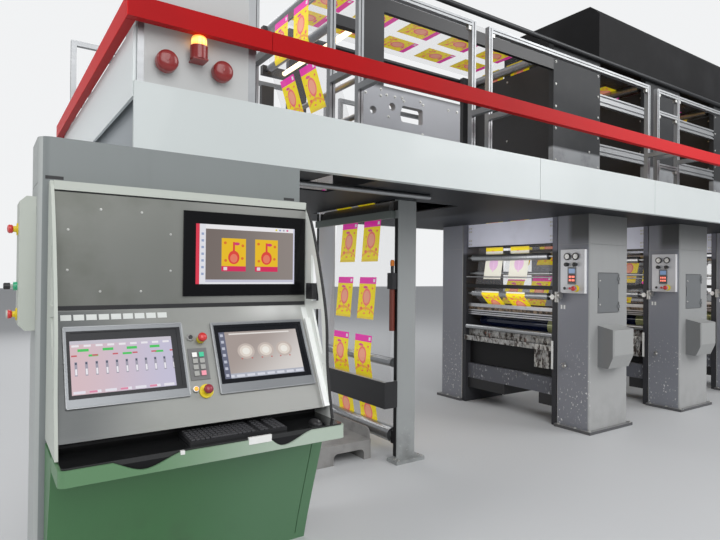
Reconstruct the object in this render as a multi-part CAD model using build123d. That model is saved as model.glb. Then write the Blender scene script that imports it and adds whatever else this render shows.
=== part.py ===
from build123d import *
import math
import os

# A gravure printing press: the outfeed end with its operator's console, and a row of
# printing units under one long deck. X runs along the press, Y goes into it from the
# operator's side, Z is up, and all sizes are in millimetres. The origin is on the floor
# under the middle of the first column.

os.makedirs("parts", exist_ok=True)

# The row of printing units
unit_count = 3
unit_pitch = 1820
column_width = 690
column_depth = 390
column_corner = 18
base_thick = 30
base_lip = 42
soffit_height = 2250
frame_plate = 60
frame_gap = 1300

# The deck over the units, the same on both long sides
deck_overhang = 360
deck_left = -4850
deck_right_reach = 260
fascia_height = 350
fascia_thick = 24
side_wall_bottom = 2521
side_wall_thick = 16
deck_plate_thick = 12
rail_height = 110
rail_depth = 50
rail_gap = 50
rail_bottom = 2886
guard_inset = 250
guard_top = 3715
guard_profile = 45

# The upper side frames, the rollers at their top and the dryer hoods
top_roller_height = 4040
top_roller_radius = 50
upper_frame_width = 850
upper_frame_top = top_roller_height + 90
hood_bottom = 1968
hood_width = 470
hood_top = top_roller_height - 80
tie_bar_height = 130

# The printing mechanism
cylinder_radius = 95
cylinder_height = 1030
impression_radius = 62
nip_gap = 11
face_length = 1160
bore_clearance = 0.1
guide_radius = 38
lift_radius = 42
web_width = 1080
web_side_margin = 85
web_thick = 0.6
web_clearance = 0.35
web_joint = 0.2
seat_gap = 0.2

# The outfeed bay
post_left = -2516
post_width = 200
outfeed_roller_x = -2460
outfeed_roller_height = 194
outfeed_roller_radius = 65
outfeed_top_x = outfeed_roller_x + 10
outfeed_top_height = soffit_height - 64
outfeed_top_radius = 75
outfeed_middle_height = 826
outfeed_middle_radius = 40

# The end cabinet and the console on it
cabinet_left = -5273
cabinet_width = 1395
cabinet_depth = 330
cabinet_corner = 60
console_inset = 45
console_plate = 14
console_depth = 80
hood_strip = 50
console_top = 2030
console_split = 1424
slope_run = 284
slope_drop = 559
shelf_height = 806
shelf_front = -1080
shelf_thick = 22
lip_height = 68
lip_drop = 8
touch_width = 540
touch_drop = 340

# Places that follow from the sizes above
column_front = -column_depth / 2
frame_near = (column_depth / 2, column_depth / 2 + frame_plate)
frame_far = (frame_near[1] + frame_gap, frame_near[1] + frame_gap + frame_plate)
press_middle = (frame_near[0] + frame_far[1]) / 2
fascia_front = column_front - deck_overhang
fascia_back = 2 * press_middle - fascia_front
deck_right = (unit_count - 1) * unit_pitch + column_width / 2 + deck_right_reach
fascia_top = soffit_height + fascia_height
web_near = frame_near[1] + web_side_margin
web_far = web_near + web_width
unit_places = [k * unit_pitch for k in range(unit_count)]
cylinder_offset = -60
impression_height = cylinder_height + cylinder_radius + nip_gap + impression_radius
cabinet_right = cabinet_left + cabinet_width
console_front = fascia_front - console_depth
console_left = cabinet_left + console_inset


def save(name, solids):
    """Writes one named piece, which may be several solids that don't touch."""
    shape = solids if isinstance(solids, (Solid, Part)) else Compound(children=list(solids))
    export_step(shape, f"parts/{name}.step")


def block(x, y, z):
    """A block between two corners, given as its low and high x, y and z."""
    middle = [(low + high) / 2 for low, high in (x, y, z)]
    return Pos(*middle) * Box(x[1] - x[0], y[1] - y[0], z[1] - z[0])


def round_bar(x, z, radius, y):
    """A round bar along Y."""
    return Pos(x, (y[0] + y[1]) / 2, z) * Rot(90, 0, 0) * Cylinder(radius, y[1] - y[0])


def upright_bar(x, y, radius, z):
    """A round bar along Z."""
    return Pos(x, y, (z[0] + z[1]) / 2) * Cylinder(radius, z[1] - z[0])


def side_profile(points, x):
    """A prism along X from an outline in the YZ plane."""
    outline = Polyline(*[(x[0], y, z) for y, z in points], close=True)
    return extrude(make_face(outline), amount=x[1] - x[0], dir=(1, 0, 0))


def end_profile(points, y):
    """A prism along Y from an outline in the XZ plane."""
    outline = Polyline(*[(x, y[0], z) for x, z in points], close=True)
    return extrude(make_face(outline), amount=y[1] - y[0], dir=(0, 1, 0))


def mirrored(solid):
    """The same solid on the other long side of the press."""
    return mirror(solid, Plane.XZ.offset(-press_middle))


# The columns: welded boxes on base plates, with a recess and hinge knuckles for the
# access door in the operator's side
door_width = 368
door_height = 413
door_left = -200
door_bottom = 1230
door_thick = 12
door_edge_gap = 5
door_recess = 18
door_proud = 2
hinge_radius = 6
hinge_stand = 9
knuckle_length = 32
knuckle_gap = 0.5
hinge_inset = 60
seam_height = 1940
seam_size = 4
door_right = door_left + door_width
hinge_x = door_right + hinge_radius
hinge_y = column_front - hinge_stand
hinge_heights = (door_bottom + hinge_inset, door_bottom + door_height - hinge_inset)


def hinge_barrel(c, z, length):
    """One knuckle on the door's hinge line."""
    return upright_bar(c + hinge_x, hinge_y, hinge_radius, (z - length / 2, z + length / 2))


def fixed_knuckles(c, z):
    """The column's two knuckles above and below the door's one, with their tabs."""
    reach = knuckle_length + knuckle_gap
    pieces = []
    for side in (-1, 1):
        middle = z + side * reach
        barrel = hinge_barrel(c, middle, knuckle_length)
        span_z = (middle - knuckle_length / 2, middle + knuckle_length / 2)
        tab = block((c + hinge_x, c + hinge_x + 26), (hinge_y, column_front), span_z)
        pieces += [barrel, tab]
    return pieces


def column_body(c):
    """The plain column with its rounded edges, seam and base plate."""
    half = column_width / 2
    body = block((c - half, c + half), (column_front, -column_front), (base_thick, soffit_height))
    body = fillet(body.edges().filter_by(Axis.Z), column_corner)
    seam = (c - half - 1, c + half + 1), (column_front - 1, -column_front + 1)
    ring = block(*seam, (seam_height, seam_height + seam_size))
    core = block((c - half + seam_size, c + half - seam_size),
                 (column_front + seam_size, -column_front - seam_size),
                 (seam_height - 1, seam_height + seam_size + 1))
    body -= ring - core
    lip = half + base_lip
    front = column_front - base_lip
    return body + block((c - lip, c + lip), (front, -column_front), (0, base_thick))


def operator_column(c):
    """A column of the operator's side, which carries the access door."""
    body = column_body(c)
    gap = door_edge_gap
    body -= block((c + door_left - gap, c + door_right + gap),
                  (column_front - 1, column_front + door_recess),
                  (door_bottom - gap, door_bottom + door_height + gap))
    for z in hinge_heights:
        for piece in fixed_knuckles(c, z):
            body += piece
    return body


def access_door(c):
    """The door leaf, with a pull slot at its left edge and a knuckle on each hinge."""
    front = column_front - door_proud
    leaf = block((c + door_left, c + door_right), (front, front + door_thick),
                 (door_bottom, door_bottom + door_height))
    pull_width, pull_height, pull_deep = 16, 110, 8
    pull_z = door_bottom + door_height / 2
    leaf -= block((c + door_left - 1, c + door_left + pull_width), (front - 1, front + pull_deep),
                  (pull_z - pull_height / 2, pull_z + pull_height / 2))
    for z in hinge_heights:
        leaf += hinge_barrel(c, z, knuckle_length)
        leaf += block((c + door_right - 24, c + hinge_x), (hinge_y, front),
                      (z - knuckle_length / 2, z + knuckle_length / 2))
    return leaf


def guard_box(c):
    """The cover under the door: a sloping top, an undercut bottom and chamfered sides."""
    deep, top, shoulder, undercut, bottom = 180, 1100, 1062, 806, 668
    face = column_front
    outline = [(face, top), (face - deep, shoulder), (face - deep, undercut),
               (face - deep * 0.66, bottom), (face, bottom)]
    cover = side_profile(outline, (c + door_left, c + door_right))
    front_edges = cover.edges().filter_by(Axis.Z).group_by(Axis.Y)[0]
    return chamfer(front_edges, 14)


columns = [operator_column(c) for c in unit_places]
save("columns", columns + [mirrored(column_body(c)) for c in unit_places])
save("guard_boxes", [guard_box(c) for c in unit_places])
for k, c in enumerate(unit_places):
    save(f"column_door_{k + 1}", access_door(c))

# The stainless control boxes on the columns' left sides, with an air regulator beside
# each and a drain tap lower down
panel_front = -164
panel_back = 122
panel_bottom = 1430
panel_top = 1887
panel_deep = 40


def control_box(c):
    """A box with two gauges, two knobs, a display and a row of buttons."""
    wall = c - column_width / 2
    face = wall - panel_deep
    box = block((face, wall), (panel_front, panel_back), (panel_bottom, panel_top))
    box = fillet(box.edges().filter_by(Axis.X), 4)

    def boss(along, z, radius, proud):
        y = panel_back - along
        return Pos(face - proud / 2, y, z) * Rot(0, 90, 0) * Cylinder(radius, proud)

    for along in (86, 186):
        box += boss(along, panel_top - 74, 34, 14)
        box += boss(along, panel_top - 158, 17, 22)
    box += block((face - 6, face), (panel_back - 186, panel_back - 96),
                 (panel_bottom + 102, panel_bottom + 262))
    for along, radius in ((66, 14), (128, 14), (190, 28)):
        box += boss(along, panel_bottom + 50, radius, 20 if radius < 20 else 34)
    return box


def air_regulator(c):
    """The pressure regulator with its round gauge, on a short arm from the column."""
    wall = c - column_width / 2
    x, y, z = wall - 58, 150, 1400
    body = upright_bar(x, y, 26, (z - 70, z + 40))
    body += Pos(x, y - 34, z) * Rot(90, 0, 0) * Cylinder(34, 26)
    body += block((x, wall), (y - 12, y + 12), (z - 12, z + 12))
    return body


def drain_tap(c):
    """A small ball valve on a nipple in the column's side."""
    wall = c - column_width / 2
    y, z = 70, 660
    tap = Pos(wall - 32, y, z) * Rot(0, 90, 0) * Cylinder(13, 64)
    tap += Pos(wall - 34, y, z) * Sphere(22)
    stem_top = z + 30
    tap += upright_bar(wall - 34, y, 6, (z, stem_top))
    return tap + block((wall - 80, wall - 28), (y - 8, y + 8), (stem_top - 4, stem_top + 4))


save("unit_control_boxes", [control_box(c) for c in unit_places])
save("air_and_drain_fittings", [fitting(c) for c in unit_places
                                for fitting in (air_regulator, drain_tap)])

# The cast side frames, bored for the shafts of the printing cylinder and the
# impression roller, with the upper frames that stand on them
journal_radius = 26
impression_journal = 20
shaft_end = 15


def lower_frame(c, y):
    """One side frame of a unit, the same width as its column."""
    half = column_width / 2
    plate = block((c - half, c + half), y, (0, soffit_height + deck_plate_thick))
    x = c + cylinder_offset
    hole = (y[0] - 1, y[1] + 1)
    plate -= round_bar(x, cylinder_height, journal_radius + bore_clearance, hole)
    plate -= round_bar(x, impression_height, impression_journal + bore_clearance, hole)
    return plate


def upper_frame(c, y):
    """An upper frame plate with a row of round holes."""
    half = upper_frame_width / 2
    bottom = soffit_height + deck_plate_thick
    plate = block((c - half, c + half), y, (bottom, upper_frame_top))
    for step in range(3):
        plate -= round_bar(c - 300 + 110 * step, 2820, 22, (y[0] - 1, y[1] + 1))
    return plate


save("side_frames", [lower_frame(c, y) + upper_frame(c, y)
                     for c in unit_places for y in (frame_near, frame_far)])


def roller(x, z, radius, neck, face):
    """A roller with shouldered shaft ends that run in both side frames."""
    middle = (frame_near[1] + frame_far[0]) / 2
    body = round_bar(x, z, radius, (middle - face / 2, middle + face / 2))
    shaft = round_bar(x, z, neck, (frame_near[1] - shaft_end * 3, frame_far[0] + shaft_end * 3))
    return body + shaft


def printing_cylinder(c):
    """The engraved cylinder, with chamfered ends."""
    x = c + cylinder_offset
    body = roller(x, cylinder_height, cylinder_radius, journal_radius, face_length + 20)
    ends = body.edges().filter_by(GeomType.CIRCLE).sort_by(SortBy.RADIUS)[-2:]
    return chamfer(ends, 8)


for k, c in enumerate(unit_places):
    save(f"gravure_cylinder_{k + 1}", printing_cylinder(c))
    save(f"impression_roller_{k + 1}",
         roller(c + cylinder_offset, impression_height, impression_radius, impression_journal,
                face_length))

# The web's guide rollers. Each entry is the roller's x and z, its radius and its wrap: 1
# where the web turns left on its way, seen from the operator's side, and -1 where right.
guide_face = 1140
back_roller_share = 0.58
back_roller_radius = 20


def unit_route(c):
    """The rollers that the web meets in one unit, from its entry to its exit."""
    return [
        (c + 330, top_roller_height, top_roller_radius, 1),
        (c + 242, hood_bottom - 68, guide_radius, -1),
        (c + cylinder_offset, impression_height, impression_radius, -1),
        (c - 296, impression_height + 184, guide_radius, -1),
        (c - 300, hood_bottom - 140, lift_radius, 1),
        (c - 330, top_roller_height, top_roller_radius, 1),
    ]


tower_x = -3127
tower_low = top_roller_height - 395
tower_turn = (tower_x, top_roller_height, top_roller_radius, 1)
tower_roller = (tower_x - 13, tower_low, guide_radius, 1)
entry_roller = (outfeed_top_x - 270, soffit_height + 150, guide_radius, 1)
outfeed_top = (outfeed_top_x, outfeed_top_height, outfeed_top_radius, -1)
outfeed_middle = (outfeed_top_x, outfeed_middle_height, outfeed_middle_radius, 1)
outfeed_low = (outfeed_roller_x, outfeed_roller_height, outfeed_roller_radius, -1)
outfeed_route = [tower_turn, tower_roller, entry_roller, outfeed_top, outfeed_middle,
                 outfeed_low]


def guide_roller(x, z, radius):
    """A fixed guide roller that spans the side frames."""
    middle = (frame_near[1] + frame_far[0]) / 2
    body = round_bar(x, z, radius, (middle - guide_face / 2, middle + guide_face / 2))
    return body + round_bar(x, z, 16, (frame_near[1], frame_far[0]))


def tangent_points(first, second, offset):
    """Where the web leaves one roller and meets the next, on one of its two faces."""
    (x1, z1, r1, w1), (x2, z2, r2, w2) = first, second
    signed = [w * (r + web_clearance + web_thick / 2) - offset
              for r, w in ((r1, w1), (r2, w2))]
    heading = math.atan2(z2 - z1, x2 - x1)
    heading -= math.asin((signed[1] - signed[0]) / math.hypot(x2 - x1, z2 - z1))
    left = (-math.sin(heading), math.cos(heading))
    start = (x1 - signed[0] * left[0], z1 - signed[0] * left[1])
    end = (x2 - signed[1] * left[0], z2 - signed[1] * left[1])
    return start, end, heading


def behind_web(first, second, share, radius):
    """The centre of a roller that touches the right of the web's run between two others."""
    start, end, heading = tangent_points(first, second, -web_thick / 2)
    reach = radius + web_clearance
    return (start[0] + share * (end[0] - start[0]) + reach * math.sin(heading),
            start[1] + share * (end[1] - start[1]) - reach * math.cos(heading))


frame_rod_radius = 28
frame_rod = (-325, 962)
thin_rod = (-338, 1590)
thin_rod_radius = 7


def plain_bar(x, z, radius):
    """A plain round bar between the side frames."""
    return round_bar(x, z, radius, (frame_near[1], frame_far[0]))


guide_rollers = []
for c in unit_places:
    for x, z, radius, wrap in unit_route(c):
        if z != impression_height:
            guide_rollers.append(guide_roller(x, z, radius))
    lower, upper = unit_route(c)[3:5]
    x, z = behind_web(lower, upper, back_roller_share, back_roller_radius)
    guide_rollers.append(guide_roller(x, z, back_roller_radius))
    guide_rollers.append(plain_bar(c + frame_rod[0], frame_rod[1], frame_rod_radius))
    guide_rollers.append(plain_bar(c + thin_rod[0], thin_rod[1], thin_rod_radius))
for x, z, radius, wrap in (tower_turn, tower_roller, entry_roller, outfeed_middle):
    guide_rollers.append(guide_roller(x, z, radius))
tower_tube_x = outfeed_top_x - 415
tower_tube_heights = (2950, 3260)
tower_tube_radius = 25
for z in tower_tube_heights:
    guide_rollers.append(plain_bar(tower_tube_x, z, tower_tube_radius))
save("guide_rollers", guide_rollers)


def web_wrap(roller_entry, first_heading, last_heading):
    """The web where it lies round one roller, between two headings."""
    x, z, radius, wrap = roller_entry
    turn = (last_heading - first_heading + math.pi) % (2 * math.pi) - math.pi
    arcs = []
    for side in (-1, 1):
        signed = wrap * (radius + web_clearance + web_thick / 2) + side * web_thick / 2
        trim = web_joint / (2 * abs(signed)) * math.copysign(1, turn)
        points = []
        for heading in (first_heading + trim, first_heading + turn / 2,
                        first_heading + turn - trim):
            points.append((x + signed * math.sin(heading), 0, z - signed * math.cos(heading)))
        arcs.append(ThreePointArc(*points))
    inner, outer = arcs
    face = make_face([inner, Line(inner @ 1, outer @ 1), outer, Line(outer @ 0, inner @ 0)])
    return Pos(0, web_near, 0) * extrude(face, amount=web_width, dir=(0, 1, 0))


def web_run(first, second):
    """The straight web between two rollers."""
    start, end, heading = tangent_points(first, second, 0)
    length = math.hypot(end[0] - start[0], end[1] - start[1]) - web_joint
    middle = ((start[0] + end[0]) / 2, (web_near + web_far) / 2, (start[1] + end[1]) / 2)
    return Pos(*middle) * Rot(0, -math.degrees(heading), 0) * Box(length, web_width, web_thick)


def web_pieces(route, first_heading, last_heading):
    """The web over its rollers: a wrap on each, and straight runs between them."""
    spans = [tangent_points(a, b, 0) for a, b in zip(route, route[1:])]
    headings = [first_heading] + [heading for _, _, heading in spans] + [last_heading]
    pieces = [web_wrap(*entry) for entry in zip(route, headings, headings[1:])]
    return pieces + [web_run(a, b) for a, b in zip(route, route[1:])]


full_route = []
for c in reversed(unit_places):
    full_route += unit_route(c)
full_route += outfeed_route
save("web", web_pieces(full_route, math.pi, math.pi))

# Inside each unit, spanning between the side frames: the ink tray that the cylinder dips
# into with its gutter lip, the doctor blade in its holder, the cross beams with the closed
# boxes under them, and the black bars, splash plate and end knob
span = (frame_near[1], frame_far[0])
tray_wall = 4
tray_half = 230
tray_bottom = 800
tray_top = 950
tray_slope = 50
blade_gap = 6
blade_thick = 1.5
holder_left = -300
holder_right = -235
holder_bottom = cylinder_height + 85
holder_shelf = cylinder_height + 148
holder_bar = (cylinder_height + 185, cylinder_height + 225)
beam_bottom = 310
beam_top = 490
beam_width = 60
beam_sides = (-270, 230)
hung_low = 185
hung_near = 205
hung_far = 595
lip_plate = 6
lip_plate_z = (790, 850)
splash_x = (-262, -250)
splash_z = (500, 780)
black_bar_x = (-345, -327)
black_bar_z = (1455, 1500)
end_knob_radius = 31
end_knob_length = 40


def ink_tray(c):
    """An open trough with sloping lower corners, closed at both ends."""
    x = c + cylinder_offset
    low = tray_half - tray_slope
    outline = [(x - tray_half, tray_top), (x - tray_half, tray_bottom + tray_slope),
               (x - low, tray_bottom), (x + low, tray_bottom),
               (x + tray_half, tray_bottom + tray_slope), (x + tray_half, tray_top)]
    trough = end_profile(outline, span)
    return offset(trough, amount=-tray_wall, openings=trough.faces().sort_by(Axis.Z)[-1])


def gutter_lip(c):
    """The lip of the ink gutter, fixed on the side frames' left edges."""
    edge = c - column_width / 2
    return block((edge - lip_plate, edge), (span[0] - 20, span[1] + 20), lip_plate_z)


def black_pieces(c):
    """The bar in front of the web, the splash plate under the tray and the end knob."""
    bar = block((c + black_bar_x[0], c + black_bar_x[1]), span, black_bar_z)
    plate = block((c + splash_x[0], c + splash_x[1]), span, splash_z)
    edge = c - column_width / 2
    knob = (Pos(edge - end_knob_length / 2, sum(frame_near) / 2, impression_height + 184)
            * Rot(0, 90, 0) * Cylinder(end_knob_radius, end_knob_length))
    return [bar, plate, knob]


def doctor_blade(c):
    """The holder with its blade, splash plate and upper bar."""
    left, right = c + holder_left, c + holder_right
    holder = block((left, right), span, (holder_bottom, holder_shelf))
    holder += block((left + 15, left + 21), span, (holder_shelf, holder_bar[0]))
    holder += block((left, right - 10), span, holder_bar)
    reach = (cylinder_radius + blade_gap) / math.sqrt(2)
    tip = (c + cylinder_offset - reach, cylinder_height + reach)
    root = (right - 5, holder_bottom + 30)
    lean = math.atan2(root[1] - tip[1], root[0] - tip[0])
    across = (-blade_thick * math.sin(lean), blade_thick * math.cos(lean))
    blade = [tip, root, (root[0] - across[0], root[1] - across[1]),
             (tip[0] - across[0], tip[1] - across[1])]
    return holder + end_profile(blade, (web_near, web_far))


def cross_beams(c):
    """Two box beams low down between the side frames, with a closed box under them at each."""
    half = beam_width / 2
    beams = [block((c + x - half, c + x + half), span, (beam_bottom, beam_top))
             for x in beam_sides]
    x = (c + beam_sides[0] - half, c + beam_sides[1] + half)
    z = (hung_low, beam_bottom)
    return beams + [block(x, (span[0], span[0] + hung_near), z),
                    block(x, (span[1] - hung_far, span[1]), z)]


save("ink_trays", [piece(c) for c in unit_places for piece in (ink_tray, gutter_lip)])
save("unit_bars", [solid for c in unit_places for solid in black_pieces(c)])
save("doctor_blades", [doctor_blade(c) for c in unit_places])
save("cross_beams", [solid for c in unit_places for solid in cross_beams(c)])

# The dryer hoods: a closed core that the web passes on both sides, a bolted panel in front
# of it below the deck and another above, and the dark duct over the units
panel_thick = 12
lower_panel_left = -312
upper_panel_left = -344
duct_left = 405
duct_bottom = upper_frame_top + 10
duct_height = 640
duct_top = duct_bottom + duct_height
duct_slope = 120


def hood_front(c, left, z):
    """A bolted front panel between the side frames."""
    return block((c + left, c + left + panel_thick), span, z)


def duct_post(c, y):
    """A pad on an upper side frame that the duct rests on."""
    return block((c - 40, c + 40), y, (upper_frame_top, duct_bottom - seat_gap))


save("dryer_hoods", [block((c - hood_width / 2, c + hood_width / 2), span, (hood_bottom, hood_top))
                     for c in unit_places])
save("hood_panels", [hood_front(c, lower_panel_left, (hood_bottom, soffit_height))
                     for c in unit_places]
     + [hood_front(c, upper_panel_left, (soffit_height + deck_plate_thick, hood_top))
        for c in unit_places])
duct_right = unit_places[-1] + upper_frame_width / 2
duct = side_profile([(frame_near[0], duct_bottom), (frame_far[1], duct_bottom),
                     (frame_far[1], duct_top - duct_slope), (frame_far[1] - duct_slope, duct_top),
                     (frame_near[0] + duct_slope, duct_top), (frame_near[0], duct_top - duct_slope)],
                    (duct_left, duct_right))
save("overhead_duct", [duct] + [duct_post(c, y) for c in unit_places[1:]
                                for y in (frame_near, frame_far)])

# Grooved tie bars between neighbouring upper frames, and a long tube along their tops
tie_heights = (3080, 3660)
tie_depth = 40
groove_depth = 14
groove_height = 26
top_tube_radius = 26


def tie_bar(c, z):
    """A bar with a groove along its front, from one unit's upper frame to the next."""
    x = (c + upper_frame_width / 2, c + unit_pitch - upper_frame_width / 2)
    y = (frame_near[0], frame_near[0] + tie_depth)
    bar = block(x, y, (z - tie_bar_height / 2, z + tie_bar_height / 2))
    for side in (-1, 1):
        middle = z + side * tie_bar_height / 4
        bar -= block((x[0] - 1, x[1] + 1), (y[0] - 1, y[0] + groove_depth),
                     (middle - groove_height / 2, middle + groove_height / 2))
    return bar


tie_bars = [tie_bar(c, z) for c in unit_places[:-1] for z in tie_heights]
top_tube_x = (outfeed_top_x - 350, unit_places[-1] + upper_frame_width / 2)
top_tube = (Pos(sum(top_tube_x) / 2, frame_near[0] - top_tube_radius,
                upper_frame_top - top_tube_radius)
            * Rot(0, 90, 0) * Cylinder(top_tube_radius, top_tube_x[1] - top_tube_x[0]))
ties = tie_bars + [top_tube]
save("tie_bars", ties + [mirrored(tie) for tie in ties])

# The deck: white fascia panels of folded sheet on both long sides, soffit and floor plates,
# I-beams between them, and the end wall at the left
seam_gap = 6
first_seam = 227
flange_depth = 60
flange_thick = 6
strip_near = fascia_front + flange_depth
soffit_open = (-3604, -3240)
outfeed_open = (-3604, -1800)
soffit_reach = -2570
i_width = 120
i_flange = 12
i_web = 10


def fascia_panel(left, right):
    """One folded panel with a flange at its top and bottom."""
    front, low, high = fascia_front, soffit_height, fascia_top
    outline = [(front, low), (front + flange_depth, low), (front + flange_depth, low + flange_thick),
               (front + fascia_thick, low + flange_thick),
               (front + fascia_thick, high - flange_thick),
               (front + flange_depth, high - flange_thick), (front + flange_depth, high),
               (front, high)]
    return side_profile(outline, (left, right))


def i_beam(x):
    """A beam across the walkway, between the soffit and the floor plates."""
    low, high = soffit_height + deck_plate_thick, fascia_top - deck_plate_thick
    y = (strip_near, frame_near[0])
    beam = block((x - i_web / 2, x + i_web / 2), y, (low, high))
    beam += block((x - i_width / 2, x + i_width / 2), y, (low, low + i_flange))
    return beam + block((x - i_width / 2, x + i_width / 2), y, (high - i_flange, high))


seams = [x for x in [first_seam + k * unit_pitch for k in range(-1, unit_count + 1)]
         if deck_left + 200 < x < deck_right - 200]
panel_edges = [deck_left] + seams + [deck_right]
fascia = [fascia_panel(a + seam_gap / 2, b - seam_gap / 2)
          for a, b in zip(panel_edges, panel_edges[1:])]
wall_inner = deck_left + side_wall_thick
wall_y = (fascia_front + fascia_thick, fascia_back - fascia_thick)
end_wall = block((deck_left, wall_inner), wall_y, (side_wall_bottom, rail_bottom))
fascia[0] -= end_wall
save("fascia_panels", fascia + [mirrored(panel) for panel in fascia])

soffit_z = (soffit_height, soffit_height + deck_plate_thick)
floor_z = (fascia_top - deck_plate_thick, fascia_top)
walkway = (strip_near, frame_near[0])
middle = (frame_near[0], frame_far[1])
soffits = [block((wall_inner, soffit_open[0]), walkway, soffit_z),
           block((soffit_open[1], deck_right), walkway, soffit_z)]
floors = [block((wall_inner, deck_right), walkway, floor_z)]
soffits += [mirrored(plate) for plate in soffits]
floors += [mirrored(plate) for plate in floors]
soffits.append(block((wall_inner, soffit_reach), middle, soffit_z))
floors.append(block((wall_inner, outfeed_open[0]), middle, floor_z))
lower_edges = [outfeed_open[1]] + [c + side * column_width / 2 for c in unit_places
                                   for side in (-1, 1)]
upper_edges = [outfeed_open[1]] + [c + side * upper_frame_width / 2 for c in unit_places
                                   for side in (-1, 1)]
for k in range(0, 2 * unit_count, 2):
    soffits.append(block((lower_edges[k], lower_edges[k + 1]), middle, soffit_z))
    floors.append(block((upper_edges[k], upper_edges[k + 1]), middle, floor_z))
save("soffit_plates", soffits)
save("deck_floors", floors)
beam_left = (deck_left + 550, -3660, -3180, -2415, -1200)
deck_beams = [i_beam(x) for x in (*beam_left, *unit_places)]
end_beam = block((wall_inner + 34, wall_inner + 50), (strip_near, 2 * press_middle - strip_near),
                 (soffit_z[1], floor_z[0]))
save("deck_beams", deck_beams + [mirrored(beam) for beam in deck_beams] + [end_beam])
save("deck_end_wall", end_wall)
soffit_tube_radius = 20
soffit_tube = (-3870, -2500)
save("soffit_tube", Pos(sum(soffit_tube) / 2, -183, soffit_height - soffit_tube_radius)
     * Rot(0, 90, 0) * Cylinder(soffit_tube_radius, soffit_tube[1] - soffit_tube[0]))

# The red safety rail round the deck, on arms from the guard frames behind it
rail_front = fascia_front - rail_gap - rail_depth
rail_back_face = fascia_front - rail_gap
rail_z = (rail_bottom, rail_bottom + rail_height)
rail_left = deck_left - rail_gap - 5
rail_return = (rail_left, rail_left + rail_depth)
rail_joint = deck_left + 733
rail_joint_gap = 3
arm_z = (rail_bottom + 35, rail_bottom + 80)
guard_y = (fascia_front + guard_inset, fascia_front + guard_inset + guard_profile)
guard_places = [(deck_left + 760, -3520), (-3285, -2155), (-1955, 545), (740, 1183, 3230),
                (3330, deck_right - guard_profile)]
gate_link_heights = (2882, 3475)

front_rail = block((rail_left, rail_joint), (rail_front, rail_back_face), rail_z)
return_y = (rail_back_face + rail_joint_gap, 2 * press_middle - rail_back_face - rail_joint_gap)
long_rail = block((rail_joint + rail_joint_gap, deck_right), (rail_front, rail_back_face), rail_z)
left_return = block(rail_return, return_y, rail_z)
save("red_rail", [front_rail, mirrored(front_rail), left_return, long_rail, mirrored(long_rail)])


def guard_link(a, b, high):
    """A level bar between two uprights, given by their left edges and its own top."""
    return block((a + guard_profile + seat_gap, b - seat_gap), guard_y,
                 (high - guard_profile, high))


def guard_frame(places):
    """Uprights of square profile with rail arms, and a top and a middle bar between them."""
    pieces = []
    for x in places:
        pieces.append(block((x, x + guard_profile), guard_y, (fascia_top, guard_top)))
        pieces.append(block((x, x + guard_profile), (rail_back_face, guard_y[0] - seat_gap),
                            arm_z))
    for a, b in zip(places, places[1:]):
        pieces += [guard_link(a, b, high) for high in (guard_top, fascia_top + 560)]
    return pieces


guards = [piece for places in guard_places for piece in guard_frame(places)]
gate_left, gate_right = guard_places[3][:2]
guards += [guard_link(gate_left, gate_right, high) for high in gate_link_heights]
wall_arms = [block((rail_return[1], wall_inner), (y - 20, y + 20), (rail_bottom, arm_z[1]))
             for y in (100, press_middle, 2 * press_middle - 100)]

# The white cabinet on the deck's left end, with its horns and its warning light
end_cabinet_x = (deck_left + 49, deck_left + 629)
end_cabinet_depth = 450
cabinet_front = (fascia_front, fascia_front + end_cabinet_depth)
horn_places = ((deck_left + 156, 2716), (deck_left + 459, 2723))
horn_radius = 57
horn_proud = 80
beacon_x = deck_left + 323
beacon_stand = 50
beacon_base = 47
beacon_lens = 40
beacon_z = (2757, 2828, 2886)

cabinet = block(end_cabinet_x, cabinet_front, (fascia_top, guard_top))
save("end_cabinet", cabinet)
corner_y = (fascia_front, fascia_front + guard_profile)
corner_posts = [block(x, corner_y, (fascia_top, guard_top))
                for x in ((wall_inner, end_cabinet_x[0]),
                          (end_cabinet_x[1], end_cabinet_x[1] + guard_profile))]
cabinet_arms = [block((x, x + guard_profile), (rail_back_face, fascia_front), arm_z)
                for x in (end_cabinet_x[0] + 40, end_cabinet_x[1] - 85)]
back_guards = guards + guard_frame((wall_inner, guard_places[0][0] - 40 - guard_profile))
save("guard_frames", guards + [mirrored(piece) for piece in back_guards] + wall_arms
     + corner_posts + cabinet_arms)


def horn(x, z):
    """A round horn with a stepped foot and a domed front."""
    half = [(0, 0), (horn_radius * 0.8, 0), (horn_radius * 0.8, 14), (horn_radius, 20),
            (horn_radius, 52)]
    edge = Polyline(*half)
    dome = Spline((horn_radius, 52), (horn_radius * 0.72, horn_proud - 6), (0, horn_proud),
                  tangents=((0, 1), (-1, 0)))
    body = revolve(make_face([edge, dome, Line((0, horn_proud), (0, 0))]), Axis.Y)
    return Pos(x, fascia_front, z) * Rot(180, 0, 0) * body


save("horns", [horn(x, z) for x, z in horn_places])
beacon_y = fascia_front - beacon_stand
bracket = block((beacon_x - 40, beacon_x + 40), (beacon_y - 40, fascia_front),
                (beacon_z[0] - 8, beacon_z[0]))
save("beacon_base", bracket + upright_bar(beacon_x, beacon_y, beacon_base, beacon_z[:2]))
lens = upright_bar(beacon_x, beacon_y, beacon_lens, beacon_z[1:])
save("beacon_lens", fillet(lens.edges().group_by(Axis.Z)[-1], 18))

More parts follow.
